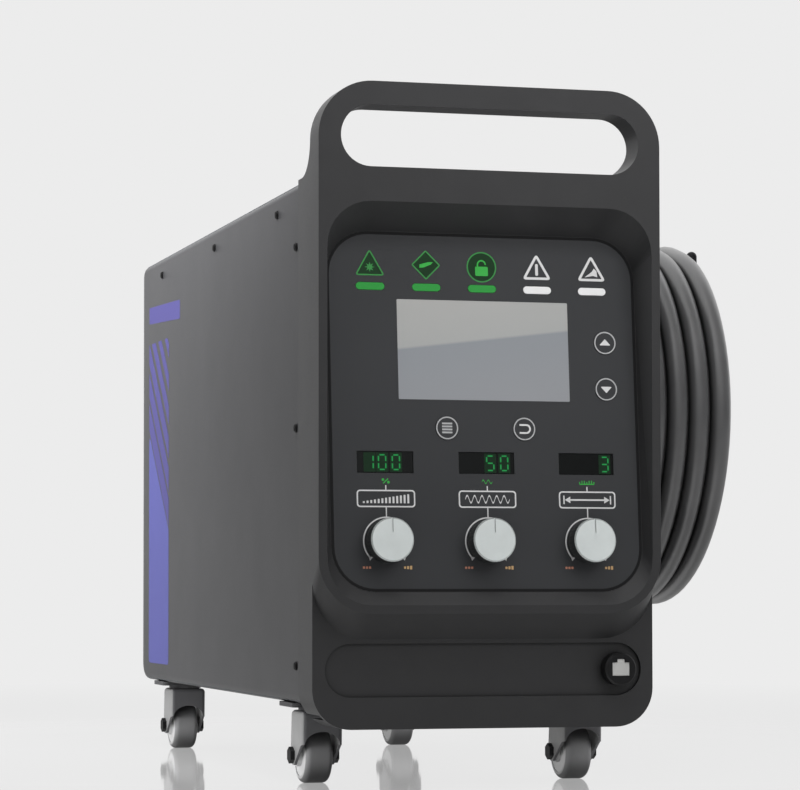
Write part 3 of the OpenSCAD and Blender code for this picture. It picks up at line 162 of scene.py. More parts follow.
class Nodes(Tree):
    """The node tree of one material."""

    def __init__(self, name):
        self.material = bpy.data.materials.new(name)
        self.material.use_nodes = True
        super().__init__(self.material.node_tree)
        self.shader = self.tree.nodes["Principled BSDF"]
        self.output = self.tree.nodes["Material Output"]
        self.coords = self.add("ShaderNodeTexCoord").outputs["Object"]

    def set(self, **values):
        """Sets constants of the surface shader."""
        for key, value in values.items():
            socket = self.shader.inputs[key.replace("_", " ")]
            socket.default_value = (*value, 1) if isinstance(value, (list, tuple)) else value

    def drive(self, name, source):
        """Links a source to a socket of the surface shader."""
        self.link(source, self.shader.inputs[name])

    def stretched(self, source, scale):
        node = self.add("ShaderNodeMapping")
        node.inputs["Scale"].default_value = scale
        self.link(source, node.inputs["Vector"])
        return node.outputs["Vector"]

    def noise(self, scale, detail=3, rough=0.55, vector=None):
        node = self.add("ShaderNodeTexNoise")
        node.inputs["Scale"].default_value = scale
        node.inputs["Detail"].default_value = detail
        node.inputs["Roughness"].default_value = rough
        self.link(vector or self.coords, node.inputs["Vector"])
        return node.outputs["Fac"]

    def ramp(self, source, stops):
        """Colours given at places from 0 to 1 of the source."""
        node = self.add("ShaderNodeValToRGB")
        band = node.color_ramp
        while len(band.elements) < len(stops):
            band.elements.new(0.5)
        for element, (place, colour) in zip(band.elements, stops):
            element.position = place
            element.color = (*colour, 1)
        self.link(source, node.inputs["Fac"])
        return node.outputs["Color"]

    def blended(self, share, first, second):
        """Two colours, mixed by a share of the second."""
        node = self.add("ShaderNodeMix", data_type="RGBA")
        for name, source in (("Factor", share), ("A", first), ("B", second)):
            self.link(source, node.inputs[name])
        return node.outputs["Result"]

    def painted_crease_shade(self, colour, reach, least):
        """Painted shade: the colour, darker in creases and gaps narrower than the reach, down to the least
        share of it, as ambient occlusion finds them.
        """
        # Painted shade: ambient occlusion darkens the colour where creases and gaps lie in shade
        near = self.add("ShaderNodeAmbientOcclusion", samples=8)
        near.inputs["Distance"].default_value = mm(reach)
        share = self.span(near.outputs["AO"], least, 1.0, start=0.3, end=0.95)
        node = self.add("ShaderNodeVectorMath", operation="SCALE")
        self.link(colour, node.inputs[0])
        self.link(share, node.inputs["Scale"])
        self.drive("Base Color", node.outputs["Vector"])

    def bump(self, height, strength, depth):
        """Fine relief; the depth is in thousandths of a millimetre."""
        node = self.add("ShaderNodeBump")
        node.inputs["Strength"].default_value = strength
        node.inputs["Distance"].default_value = mm(depth / 1000)
        self.link(height, node.inputs["Height"])
        self.drive("Normal", node.outputs["Normal"])


def shade(colour, by):
    return [min(1, c * by) for c in colour]


def coated(name, colour, rough=0.5, metal=0.0, grain=900, vary=0.06, depth=60, mottle=9):
    """Painted or moulded surface: fine grain in the relief, a slow change of tone and gloss."""
    n = Nodes(name)
    n.set(Metallic=metal, Specular_IOR_Level=0.3)
    slow = n.noise(mottle, 4, 0.6)
    tone = n.ramp(slow, [(0.25, shade(colour, 1 - vary)), (0.75, shade(colour, 1 + vary))])
    n.drive("Base Color", tone)
    fine = n.noise(grain, 2, 0.5)
    gloss = n.math("ADD", n.span(slow, -0.05, 0.05), n.span(fine, rough - 0.04, rough + 0.04))
    n.drive("Roughness", gloss)
    n.bump(fine, strength=0.3, depth=depth)
    return n.material


def bare_metal(name, colour, rough=0.32, metal=1.0):
    """Machined or plated metal: a fine grain in the gloss and the relief."""
    n = Nodes(name)
    n.set(Metallic=metal)
    fine = n.noise(2600, 2, 0.6)
    slow = n.noise(14, 3)
    tone = n.ramp(slow, [(0.3, shade(colour, 0.93)), (0.7, shade(colour, 1.05))])
    n.drive("Base Color", tone)
    n.drive("Roughness", n.span(fine, rough - 0.08, rough + 0.1))
    n.bump(fine, strength=0.25, depth=40)
    return n.material


fascia_film = coated("fascia_film", srgb(56, 57, 59), rough=0.38, grain=1500, vary=0.03, depth=30)
panel_paint = coated("panel_paint", srgb(70, 70, 72), rough=0.34, grain=1000, vary=0.03, depth=80)
# Painted shadow: near-black colour for the shaded slope round the control panel
seal_rubber = coated("seal_rubber", srgb(22, 22, 23), rough=0.6, grain=1400)
black_steel = bare_metal("black_steel", srgb(34, 34, 35), rough=0.42, metal=0.6)
dark_plastic = coated("dark_plastic", srgb(38, 38, 40), rough=0.5, grain=1300)
black_plastic = coated("black_plastic", srgb(24, 24, 25), rough=0.36, grain=1500)
frame_paint = coated("frame_paint", srgb(92, 95, 98), rough=0.5)
bare_aluminium = bare_metal("bare_aluminium", srgb(190, 192, 195), rough=0.4)
zinc = bare_metal("zinc", srgb(176, 176, 172), rough=0.36)
brass = bare_metal("brass", srgb(205, 170, 98), rough=0.28)
copper = bare_metal("copper", srgb(196, 130, 96), rough=0.3)
red_plastic = coated("red_plastic", srgb(168, 34, 28), rough=0.34)
pale_plastic = coated("pale_plastic", srgb(190, 190, 188), rough=0.42)
hub_plastic = coated("hub_plastic", srgb(206, 206, 206), rough=0.45)
plate_steel = coated("plate_steel", srgb(96, 96, 98), rough=0.4, metal=0.3, vary=0.08, mottle=40)
board_green = coated("board_green", srgb(30, 84, 50), rough=0.4)
white_print = coated("white_print", srgb(214, 214, 214), rough=0.55, vary=0.02)
grey_print = coated("grey_print", srgb(176, 177, 178), rough=0.55, vary=0.02)
violet_print = coated("violet_print", srgb(90, 92, 160), rough=0.45, vary=0.04, grain=1000)
violet_faint = coated("violet_faint", srgb(81, 77, 138), rough=0.45, vary=0.04, grain=1000)


def two_tone(name, axis, side_colour, face_colour, rough, metal=0.0, grain=900, low=0.55, high=0.8,
             crease_shade_reach=0):
    """One tone where a surface faces along an axis of the object, another on what lies round that axis."""
    n = Nodes(name)
    n.set(Metallic=metal, Specular_IOR_Level=0.4)
    normal = n.parts(n.add("ShaderNodeTexCoord").outputs["Normal"])
    facing = n.span(n.math("ABSOLUTE", normal[axis], 0), 0, 1, low, high)
    slow = n.noise(40, 4, 0.6)
    side, face = (n.ramp(slow, [(0.25, shade(colour, 0.94)), (0.75, shade(colour, 1.05))])
                  for colour in (side_colour, face_colour))
    tone = n.blended(facing, side, face)
    # Painted shade in creases and gaps, where a reach for it is given
    if crease_shade_reach:
        n.painted_crease_shade(tone, reach=crease_shade_reach, least=0.35)
    else:
        n.drive("Base Color", tone)
    fine = n.noise(grain, 2)
    n.drive("Roughness", n.span(fine, rough - 0.07, rough + 0.07))
    n.bump(fine, strength=0.3, depth=60)
    return n.material


# Painted light and shade: the bezel's sides, which face along X, are painted lighter than its front, as lit
# from the left, and its creases and recesses get painted shade
front_plastic = two_tone("front_plastic", "X", srgb(52, 52, 53), srgb(80, 80, 81), 0.42, grain=1100,
                         low=0.93, high=1.0, crease_shade_reach=30)
# Painted light and shade: the hood's cheeks, which face along X, are painted paler as lit from the left,
# and its front darker as in shade
fork_metal = two_tone("fork_metal", "X", srgb(98, 98, 100), srgb(152, 152, 152), 0.38, metal=0.15)
dial_metal = two_tone("dial_metal", "Y", srgb(58, 60, 60), srgb(222, 228, 227), 0.5, metal=0.3, grain=2600)
# Pale sides and a grey tread; painted shade darkens the tread where it lies in the gap under the hood
tyre_rubber = two_tone("tyre_rubber", "X", srgb(152, 152, 153), srgb(226, 226, 226), 0.6, grain=1800,
                       low=0.94, high=0.99, crease_shade_reach=30)


def glowing(name, colour, light, strength, rough=0.4):
    """Smooth surface, which may give off a little light."""
    n = Nodes(name)
    n.set(Base_Color=colour, Roughness=rough, Emission_Color=light, Emission_Strength=strength)
    n.bump(n.noise(1400, 2), strength=0.1, depth=20)
    return n.material


green_stroke = glowing("green_stroke", srgb(36, 104, 50), srgb(60, 150, 70), 0.3)
green_fill = glowing("green_fill", srgb(14, 46, 22), srgb(10, 60, 20), 0.12)
green_bright = glowing("green_bright", srgb(40, 140, 54), srgb(44, 165, 58), 0.32)
digit_glow = glowing("digit_glow", srgb(10, 70, 34), srgb(24, 140, 66), 0.75)
cell_glow = glowing("cell_glow", srgb(6, 30, 14), srgb(4, 44, 18), 0.3)
window_dark = glowing("window_dark", srgb(16, 18, 18), srgb(0, 0, 0), 0.0, rough=0.12)
amber_mark = glowing("amber_mark", srgb(196, 160, 110), srgb(0, 0, 0), 0.0)
red_mark = glowing("red_mark", srgb(190, 130, 104), srgb(0, 0, 0), 0.0)


def lens_material():
    """Lamp bars: the three on the left are green, the two on the right white."""
    n = Nodes("lamp_lens")
    change = zero_x + mm(25)
    step = n.span(n.parts(n.coords)["X"], 0, 1, change - mm(1), change + mm(1))
    tone = n.ramp(step, [(0.0, srgb(36, 136, 54)), (1.0, srgb(228, 228, 228))])
    light = n.ramp(step, [(0.0, srgb(30, 150, 50)), (1.0, srgb(120, 120, 120))])
    n.drive("Base Color", tone)
    n.drive("Emission Color", light)
    n.set(Emission_Strength=0.16, Roughness=0.3)
    n.bump(n.noise(1200, 2), strength=0.1, depth=20)
    return n.material


def screen_reflection_material(middle):
    """Painted reflection: dim screen with a paler upper part above a slightly slanted edge, which also
    gives off a little light.
    """
    edge_up = mm(9.5)
    edge_slope = 0.122
    edge_blur = mm(1.2)
    n = Nodes("screen_image")
    place = n.parts(n.coords)
    slope = n.math("MULTIPLY", n.math("SUBTRACT", place["X"], middle.x), edge_slope)
    height = n.math("SUBTRACT", n.math("SUBTRACT", place["Z"], middle.z + edge_up), slope)
    step = n.span(height, 0, 1, -edge_blur, edge_blur)
    low = n.ramp(n.span(height, 0, 1, mm(-60), 0), [(0, srgb(141, 143, 147)), (1, srgb(134, 138, 143))])
    high = n.ramp(n.span(height, 0, 1, 0, mm(40)), [(0, srgb(160, 161, 160)), (1, srgb(163, 163, 161))])
    tone = n.blended(step, low, high)
    n.drive("Base Color", tone)
    n.drive("Emission Color", tone)
    n.set(Roughness=0.5, Emission_Strength=0.07, Coat_Weight=0.6, Coat_Roughness=0.08)
    n.bump(n.noise(3000, 1), strength=0.05, depth=10)
    return n.material


def glass_material():
    """Clear pane with a faint smear."""
    n = Nodes("clear_glass")
    n.set(Base_Color=(0.98, 0.99, 1.0), IOR=1.3, Transmission_Weight=1.0, Alpha=1.0)
    n.drive("Roughness", n.span(n.noise(30, 4), 0.02, 0.07))
    return n.material


def sheath_material():
    """Smooth rubber hose: fine rings across it, a slow change of gloss, and painted shade between the turns
    of the coil, on the tube's own UV map.
    """
    n = Nodes("hose_sheath")
    uv = n.add("ShaderNodeUVMap", uv_map="UVMap").outputs["UV"]
    rings = n.noise(18, 3, 0.6, n.stretched(uv, (0.15, 9, 1)))
    slow = n.noise(26, 4)
    tone = n.ramp(slow, [(0.25, srgb(63, 63, 64)), (0.8, srgb(75, 75, 76))])
    # Painted shade in the valleys between the turns of the coil
    n.painted_crease_shade(tone, reach=16, least=0.25)
    fine = n.noise(1500, 2)
    n.set(Specular_IOR_Level=1.0, Coat_Weight=0.7, Coat_Roughness=0.3)
    gloss = n.math("ADD", n.span(slow, -0.05, 0.05), n.span(rings, 0.27, 0.36))
    n.drive("Roughness", gloss)
    n.bump(n.math("ADD", n.math("MULTIPLY", rings, 0.6), fine), strength=0.2, depth=60)
    return n.material


lamp_lens = lens_material()
clear_glass = glass_material()
hose_sheath = sheath_material()


# Shapes
def link(obj):
    bpy.context.scene.collection.objects.link(obj)
    return obj


def smooth(mesh, angle=32):
    """Smooth shading, apart from edges sharper than the angle."""
    for face in mesh.polygons:
        face.use_smooth = True
    mesh.set_sharp_from_angle(angle=math.radians(angle))


def dress(name, material):
    """Gives a carried-over CAD node its material."""
    materials = nodes[name].data.materials
    materials.clear()
    materials.append(material)


def softened(name, body, width, material, segments=2, angle=28):
    """A copy of a CAD node whose sharp edges are rounded, in place of the node."""
    join_distance = 0.000004
    flat_angle = math.radians(0.6)
    mesh = nodes[name].data.copy()
    obj = link(bpy.data.objects.new(name + "_dressed", mesh))
    work = bmesh.new()
    work.from_mesh(mesh)
    bmesh.ops.remove_doubles(work, verts=work.verts, dist=join_distance)
    bmesh.ops.dissolve_limit(work, angle_limit=flat_angle, verts=work.verts, edges=work.edges)
    sharp = [e for e in work.edges
             if len(e.link_faces) == 2 and e.calc_face_angle(0) > math.radians(angle)]
    bmesh.ops.bevel(work, geom=sharp, offset=mm(width), segments=segments, profile=0.5,
                    affect="EDGES", clamp_overlap=True)
    work.to_mesh(mesh)
    work.free()
    if "custom_normal" in mesh.attributes:
        mesh.attributes.remove(mesh.attributes["custom_normal"])
    mesh.materials.clear()
    mesh.materials.append(material)
    smooth(mesh)
    weighted = obj.modifiers.new("normals", "WEIGHTED_NORMAL")
    weighted.keep_sharp = True
    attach(obj, body)
    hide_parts(name)
    return obj


def solid(name, verts, faces, material):
    """An object from its corners and faces."""
    mesh = bpy.data.meshes.new(name)
    mesh.from_pydata([tuple(v) for v in verts], [], faces)
    mesh.update()
    mesh.materials.append(material)
    return link(bpy.data.objects.new(name, mesh))


def skin(rows, count, closed=False):
    """Faces between rows of corners that each run round; closed joins the last row to the first."""
    faces = []
    for i in range(rows if closed else rows - 1):
        after = (i + 1) % rows
        for k in range(count):
            j = (k + 1) % count
            faces.append((i * count + k, i * count + j, after * count + j, after * count + k))
    return faces


def evaluated_mesh(obj):
    """The mesh of an object as its curve or modifiers make it."""
    bpy.context.view_layer.update()
    graph = bpy.context.evaluated_depsgraph_get()
    return bpy.data.meshes.new_from_object(obj.evaluated_get(graph))


def printed(name, outlines, material, matrix, body="machine", thick=0.12):
    """Flat print: closed outlines in a plane, with holes where outlines lie in each other."""
    curve = bpy.data.curves.new(name, "CURVE")
    curve.dimensions = "2D"
    curve.fill_mode = "BOTH"
    curve.extrude = mm(thick / 2)
    for outline in outlines:
        spline = curve.splines.new("POLY")
        spline.points.add(len(outline) - 1)
        for point, (x, y) in zip(spline.points, outline):
            point.co = (mm(x), mm(y), 0, 1)
        spline.use_cyclic_u = True
    made = link(bpy.data.objects.new(name, curve))
    mesh = evaluated_mesh(made)
    bpy.data.objects.remove(made)
    bpy.data.curves.remove(curve)
    mesh.name = name
    mesh.transform(matrix)
    mesh.materials.clear()
    mesh.materials.append(material)
    obj = link(bpy.data.objects.new(name, mesh))
    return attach(obj, body)


def oval(x, y, across, rise, angles):
    """Points round a place, at angles in degrees."""
    turns = [math.radians(angle) for angle in angles]
    return [(x + across * math.cos(a), y + rise * math.sin(a)) for a in turns]


def disc(x, y, r, count=48):
    """Outline of a disc."""
    return oval(x, y, r, r, [360 * k / count for k in range(count)])


def ring(x, y, r, width):
    """Outlines of a ring."""
    return [disc(x, y, r, 64), disc(x, y, r - width, 64)]


def rounded(x, y, w, h, r, count=7):
    """Outline of a rectangle with round corners, from its middle."""
    points = []
    for cx, cy, start in ((w / 2 - r, h / 2 - r, 0), (-w / 2 + r, h / 2 - r, 90),
                          (-w / 2 + r, -h / 2 + r, 180), (w / 2 - r, -h / 2 + r, 270)):
        points += oval(x + cx, y + cy, r, r, [start + 90 * k / (count - 1) for k in range(count)])
    return points


def rounded_polygon(points, r, count=6):
    """An outline with its corners rounded."""
    out = []
    for i, p in enumerate(points):
        a = Vector(points[i - 1]) - Vector(p)
        b = Vector(points[(i + 1) % len(points)]) - Vector(p)
        half = a.angle(b) / 2
        cut = min(r / math.tan(half), a.length / 2.1, b.length / 2.1)
        start = Vector(p) + a.normalized() * cut
        end = Vector(p) + b.normalized() * cut
        for k in range(count):
            t = k / (count - 1)
            q = (1 - t) ** 2 * start + 2 * t * (1 - t) * Vector(p) + t * t * end
            out.append((q.x, q.y))
    return out


def drawn_in(points, by):
    """The outline of a convex polygon, moved inwards by a distance."""
    middle = sum((Vector(p) for p in points), Vector((0, 0))) / len(points)
    out = []
    for i, p in enumerate(points):
        a = (Vector(p) - Vector(points[i - 1])).normalized()
        b = (Vector(points[(i + 1) % len(points)]) - Vector(p)).normalized()
        inward = Vector((-a.y, a.x))
        next_inward = Vector((-b.y, b.x))
        if inward.dot(middle - Vector(p)) < 0:
            inward, next_inward = -inward, -next_inward
        between = (inward + next_inward).normalized()
        out.append(tuple(Vector(p) + between * by / max(0.2, between.dot(inward))))
    return out


def bar(x1, y1, x2, y2, width):
    """Outline of a straight stroke."""
    a, b = Vector((x1, y1)), Vector((x2, y2))
    side = (b - a).orthogonal().normalized() * width / 2
    return [tuple(a + side), tuple(b + side), tuple(b - side), tuple(a - side)]


def arc(x, y, r, width, start, end, count=48):
    """Outline of a round stroke; its angles run clockwise from the top."""
    def edge(radius, first, last):
        turns = [math.radians(first + (last - first) * k / count) for k in range(count + 1)]
        return [(x + radius * math.sin(a), y + radius * math.cos(a)) for a in turns]

    return edge(r, start, end) + edge(r - width, end, start)


def wavy(x, y, width, high, turns, thick, steps):
    """Outline of a wavy stroke."""
    top = []
    for k in range(steps + 1):
        wave = high * math.sin(k / steps * turns * 2 * math.pi)
        top.append((x - width / 2 + width * k / steps, y + wave + thick / 2))
    return top + [(a, b - thick) for a, b in reversed(top)]


# The panel's own axes: X right, Y up along it, Z out of it
tilt = math.radians(4.6)
fascia_y = 19.7
fascia_z = 326.5
fascia_up = Vector((0, math.sin(tilt), math.cos(tilt)))
fascia_out = Vector((0, -math.cos(tilt), math.sin(tilt)))


def on_fascia(x=0, up=0, out=0):
    """Matrix of a place on the panel, from the panel's middle."""
    place = at(x, fascia_y, fascia_z) + fascia_up * mm(up) + fascia_out * mm(out)
    m = Matrix((Vector((1, 0, 0)), fascia_up, fascia_out)).transposed().to_4x4()
    m.translation = place
    return m


# Hose: down out of the collar, round the hooks, then back and down to the torch, as in the CAD source
coil = {"x": 163.1, "y": 224, "z": 329, "r": 160.5, "pitch": 20.6, "turns": 3.75, "leave": 22.5}
collar = {"x": 161.159, "y": 384.5, "z": 424, "straight": 20}
torch_top = (212, 430.343, 320.39)
hook_angles = (254, 286)
hook_sag = 1.45
sag_angle = 9
coil_step = 4.5
run_length = 70
bend_r = 130


def coil_place(angle):
    """Place on the coil; it sags a little onto each hook."""
    near = min(abs((angle % 360) - hook) for hook in hook_angles)
    r = coil["r"] - hook_sag * math.exp(-(near / sag_angle) ** 2)
    a = math.radians(angle)
    x = coil["x"] + coil["pitch"] * angle / 360
    return x, coil["y"] + r * math.cos(a), coil["z"] - r * math.sin(a)


def lead_points():
    """Straight out of the collar, then across to the start of the coil."""
    low = collar["z"] - collar["straight"]
    points = [at(collar["x"], collar["y"], z) for z in (collar["z"], collar["z"] - 10, low)]
    for k in range(1, 6):
        share = k / 6
        points.append(at(collar["x"] + (coil["x"] - collar["x"]) * share, collar["y"],
                         low - (low - coil["z"]) * share))
    return points


def bend_points(x, y, z, slope, leave):
    """From the end of the straight run round to straight down, and across to the torch."""
    turn = math.pi / 2 - leave
    points = []
    for k in range(1, 21):
        part = k / 20
        angle = leave + part * turn
        eased = part * part * (3 - 2 * part)
        points.append(at(x + slope * bend_r * turn * part * (1 - part) ** 2 + (torch_top[0] - x) * eased,
                         y + bend_r * (math.sin(angle) - math.sin(leave)),
                         z - bend_r * (math.cos(leave) - math.cos(angle))))
    return points


def hose_path():
    """The whole route: lead, coil, straight run, bend and torch."""
    points = lead_points()
    last = round((coil["turns"] * 360 + coil["leave"]) / coil_step)
    for k in range(last + 1):
        points.append(at(*coil_place(coil_step * k)))
    leave = math.radians(coil["leave"])
    slope = coil["pitch"] / (2 * math.pi * coil["r"])
    x, y, z = coil_place(coil_step * last)
    for k in range(1, 6):
        step = run_length * k / 5
        points.append(at(x + slope * step, y + step * math.cos(leave), z - step * math.sin(leave)))
    end = (x + slope * run_length, y + run_length * math.cos(leave), z - run_length * math.sin(leave))
    return points + bend_points(*end, slope, leave) + [at(*torch_top)]


def tube(name, path, r, sides, material):
    """Round tube along a path, with a UV map: U round it and V along it, 40 units to the metre."""
    uv_scale = 40
    verts, uvs = [], []
    across = None
    length = 0
    lengths = [0]
    for a, b in zip(path, path[1:]):
        length += (b - a).length
        lengths.append(length)
    for i, p in enumerate(path):
        way = (path[min(i + 1, len(path) - 1)] - path[max(i - 1, 0)]).normalized()
        if across is None:
            across = way.orthogonal().normalized()
        across = (across - way * across.dot(way)).normalized()
        beside = way.cross(across)
        for k in range(sides):
            a = 2 * math.pi * k / sides
            verts.append(p + (across * math.cos(a) + beside * math.sin(a)) * r)
    for i in range(len(path) - 1):
        for k in range(sides):
            around = [2 * math.pi * r * t / sides for t in (k, k + 1, k + 1, k)]
            along = [lengths[i], lengths[i], lengths[i + 1], lengths[i + 1]]
            uvs.extend((u * uv_scale, v * uv_scale) for u, v in zip(around, along))
    faces = skin(len(path), sides)
    faces.append(tuple(range(sides - 1, -1, -1)))
    faces.append(tuple((len(path) - 1) * sides + k for k in range(sides)))
    uvs.extend([(0, 0)] * (2 * sides))
    mesh = bpy.data.meshes.new(name)
    mesh.from_pydata([tuple(v) for v in verts], [], faces)
    layer = mesh.uv_layers.new(name="UVMap")
    for loop, uv in zip(layer.data, uvs):
        loop.uv = uv
    mesh.materials.append(material)
    smooth(mesh, 50)
    return link(bpy.data.objects.new(name, mesh)), length


route = hose_path()
hose, hose_length = tube("hose", route, r=mm(10), sides=24, material=hose_sheath)
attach(hose, "machine")
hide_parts("hose_coil", "hose_tail")
tuple(route[0])
[tuple(p) for p in route]

# Case and moulded front
softened("front_bezel", "machine", 2.2, front_plastic, segments=3, angle=24)
softened("control_fascia", "machine", 0.7, fascia_film)
case = {"x": 152, "front": 72, "rear": 800, "low": 73, "high": 530, "low_r": 20, "high_r": 14}
edge_r = 8
edge_steps = 6
skin_t = 1.5


def case_line(inset):
    """Outline of the case seen from the side, drawn in by a distance."""
    turns = [90 * k / 8 for k in range(9)]
    low_r = max(case["low_r"] - inset, 0.4)
    high_r = max(case["high_r"] - inset, 0.4)
    rear, low, high = case["rear"] - inset, case["low"] + inset, case["high"] - inset
    upper = oval(rear - high_r, high - high_r, high_r, high_r, [90 - turn for turn in turns])
    lower = oval(rear - low_r, low + low_r, low_r, low_r, [-turn for turn in turns])
    return [(case["front"], low), (case["front"], high)] + upper + lower


def side_pan(node, side):
    """Side panel as a pressed sheet whose edges turn round onto the top, the rear and the underside."""
    rings = []
    steps = range(edge_steps + 1)
    for r, turn in ((edge_r, steps), (edge_r - skin_t, reversed(steps))):
        for k in turn:
            a = math.pi / 2 * k / edge_steps
            x = case["x"] - edge_r + r * math.cos(a)
            rings.append([at(side * x, y, z) for y, z in case_line(edge_r - r * math.sin(a))])
    count = len(rings[0])
    verts = [v for one in rings for v in one]
    faces = skin(len(rings), count)
    faces.append(tuple(range(count)))
    faces.append(tuple((len(rings) - 1) * count + k for k in range(count)))
    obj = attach(solid(node + "_pressed", verts, faces, panel_paint), "machine")
    work = bmesh.new()
    work.from_mesh(obj.data)
    bmesh.ops.recalc_face_normals(work, faces=work.faces)
    work.to_mesh(obj.data)
    work.free()
    smooth(obj.data, 30)
    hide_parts(node)


for node, side in (("left_side_panel", -1), ("right_side_panel", 1)):
    side_pan(node, side)
# The other sheets' outer edges are drawn back to a seam beside the side panels' round edges
sheet_t = 2
seam = 0.4
outer_edge = 146
for node in ("top_cover", "base_tray", "rear_panel"):
    sheet = softened(node, "machine", 0.5, panel_paint)
    for vertex in sheet.data.vertices:
        reach = vertex.co.x - zero_x
        if abs(reach) > mm(outer_edge):
            vertex.co.x -= math.copysign(mm(edge_r + seam - sheet_t), reach)
softened("panel_screws", "machine", 0.4, black_steel)


def prism(name, outline, low, high, turn):
    """Solid with a given outline, drawn out between two depths; turn gives the place of (a, b, depth)."""
    work = bmesh.new()
    ends = [[work.verts.new([mm(v) for v in turn(a, b, depth)]) for a, b in outline]
            for depth in (low, high)]
    count = len(outline)
    for k in range(count):
        j = (k + 1) % count
        work.faces.new((ends[0][k], ends[0][j], ends[1][j], ends[1][k]))
    work.faces.new(ends[0])
    work.faces.new(list(reversed(ends[1])))
    bmesh.ops.recalc_face_normals(work, faces=work.faces)
    mesh = bpy.data.meshes.new(name)
    work.to_mesh(mesh)
    work.free()
    return link(bpy.data.objects.new(name, mesh))


# Casters: sizes of the swivel's hood, which is written round the swivel's axis
crown = 65.2
crown_t = 3
hood_reach = 20
hood_half = 18.5
inner_half = 16
front_low_z = 36
wheel_trail = 15
axle_z = 25
foot_r = 9
arch = {"half": 16.2, "z": 35, "rise": 12}
kingpin = {"r": 6, "high": 3.5, "z": crown + 1.7}
below = -10


def across_swivel(a, b, depth):
    return depth, a, b


def along_swivel(a, b, depth):
    return a, depth, b


def hood_body():
    """The hood before it is hollowed: its side outline as wide as the hood, with round edges in front."""
    foot = oval(wheel_trail, axle_z, foot_r, foot_r, range(10, -141, -10))
    outline = [(-hood_reach, crown), (hood_reach, crown), *foot, (-13, 34.5), (-19, front_low_z)]
    body = prism("hood", outline, -hood_half, hood_half, across_swivel)
    work = bmesh.new()
    work.from_mesh(body.data)
    rim = [e for e in work.edges if all(v.co.y < mm(-18) for v in e.verts)
           and abs(e.verts[0].co.x - e.verts[1].co.x) < mm(1)]
    top = [e for e in work.edges if all(v.co.z > mm(crown - 0.1) for v in e.verts)
           and min(v.co.y for v in e.verts) < 0]
    bmesh.ops.bevel(work, geom=list(set(rim + top)), offset=mm(4), segments=5, profile=0.5,
                    affect="EDGES", clamp_overlap=True)
    work.to_mesh(body.data)
    work.free()
    return body


def hood_mesh():
    """Pressed hood of a caster: two cheeks, a crown and a front that ends in an arch, and its kingpin."""
    body = hood_body()
    ceiling = crown - crown_t
    inside = [(-17.4, ceiling), (60, ceiling), (60, below), (-16, below), (-16.4, front_low_z)]
    gate = oval(0, arch["z"], arch["half"], arch["rise"], range(0, 181, 10))
    gate += [(-arch["half"], below), (arch["half"], below)]
    cutters = [prism("inside", inside, -inner_half, inner_half, across_swivel),
               prism("gate", gate, -40, -6, along_swivel)]
    for cutter in cutters:
        cut = body.modifiers.new("cut", "BOOLEAN")
        cut.operation = "DIFFERENCE"
        cut.solver = "EXACT"
        cut.object = cutter
    mesh = evaluated_mesh(body)
    for made in (body, *cutters):
        bpy.data.objects.remove(made)
    work = bmesh.new()
    work.from_mesh(mesh)
    bmesh.ops.create_cone(work, cap_ends=True, segments=32, radius1=mm(kingpin["r"]),
                          radius2=mm(kingpin["r"]), depth=mm(kingpin["high"]),
                          matrix=Matrix.Translation((0, 0, mm(kingpin["z"]))))
    work.to_mesh(mesh)
    work.free()
    mesh.materials.clear()
    mesh.materials.append(fork_metal)
    smooth(mesh, 35)
    return mesh


pressed_hood = hood_mesh()


def hood(node, body):
    """Puts a hood in the place of a caster's fork."""
    low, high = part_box(node)
    mesh = pressed_hood.copy()
    mesh.transform(Matrix.Translation(((low.x + high.x) / 2, low.y + mm(hood_reach), 0)))
    obj = link(bpy.data.objects.new(node + "_hood", mesh))
    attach(obj, body)
    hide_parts(node)


# Materials of the CAD nodes that stay as they are
for name, material in {
    "display_module": dark_plastic, "readout_modules": window_dark, "indicator_lenses": lamp_lens,
    "control_board": board_green, "potentiometers": zinc, "service_port": black_plastic,
    "port_insert": pale_plastic, "inner_frame": frame_paint,
    "heat_sink": bare_aluminium, "laser_source": bare_aluminium, "power_supply": zinc,
    "fan_frame": dark_plastic, "fan_rotor": black_plastic, "fan_guard": zinc,
    "breaker_body": pale_plastic, "breaker_lever": black_plastic, "mains_gland": black_plastic,
    "gas_inlet": brass, "earth_stud": zinc, "hose_gland": black_plastic, "hose_hooks": black_steel,
    "torch_body": dark_plastic, "torch_nozzle": copper, "torch_trigger": red_plastic,
    "torch_cradle": black_steel, "caster_plates": plate_steel, "screen_glass": clear_glass,
}.items():
    dress(name, material)


def wheel_core(node, body):
    """Moulded core of a wheel with flat sides that end flush with the tyre, in place of the dished hub."""
    low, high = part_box(node)
    middle = (low + high) / 2
    reach = (high.x - low.x) / 2
    flat = mm(12.3)
    right = [(mm(4.3), reach), (mm(10), reach), (mm(10), flat), (mm(18.2), flat), (mm(19), mm(11.9))]
    profile = [(r, -x) for r, x in right] + right[::-1]
    sides = 48
    verts = []
    for k in range(sides):
        a = 2 * math.pi * k / sides
        verts += [middle + Vector((x, r * math.cos(a), r * math.sin(a))) for r, x in profile]
    faces = skin(sides, len(profile), closed=True)
    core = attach(solid(node + "_core", verts, faces, hub_plastic), body)
    smooth(core.data, 30)
    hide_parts(node)


for corner in ("front_left", "front_right", "rear_left", "rear_right"):
    hood(corner + "_fork", corner + "_swivel")
    dress(corner + "_axle", black_steel)
    wheel_core(corner + "_hub", corner + "_wheel")
    dress(corner + "_tyre", tyre_rubber)
for name in ("power_knob", "frequency_knob", "length_knob"):
    dress(name, dial_metal)
for name in ("key_up", "key_down", "key_menu", "key_back"):
    dress(name, fascia_film)

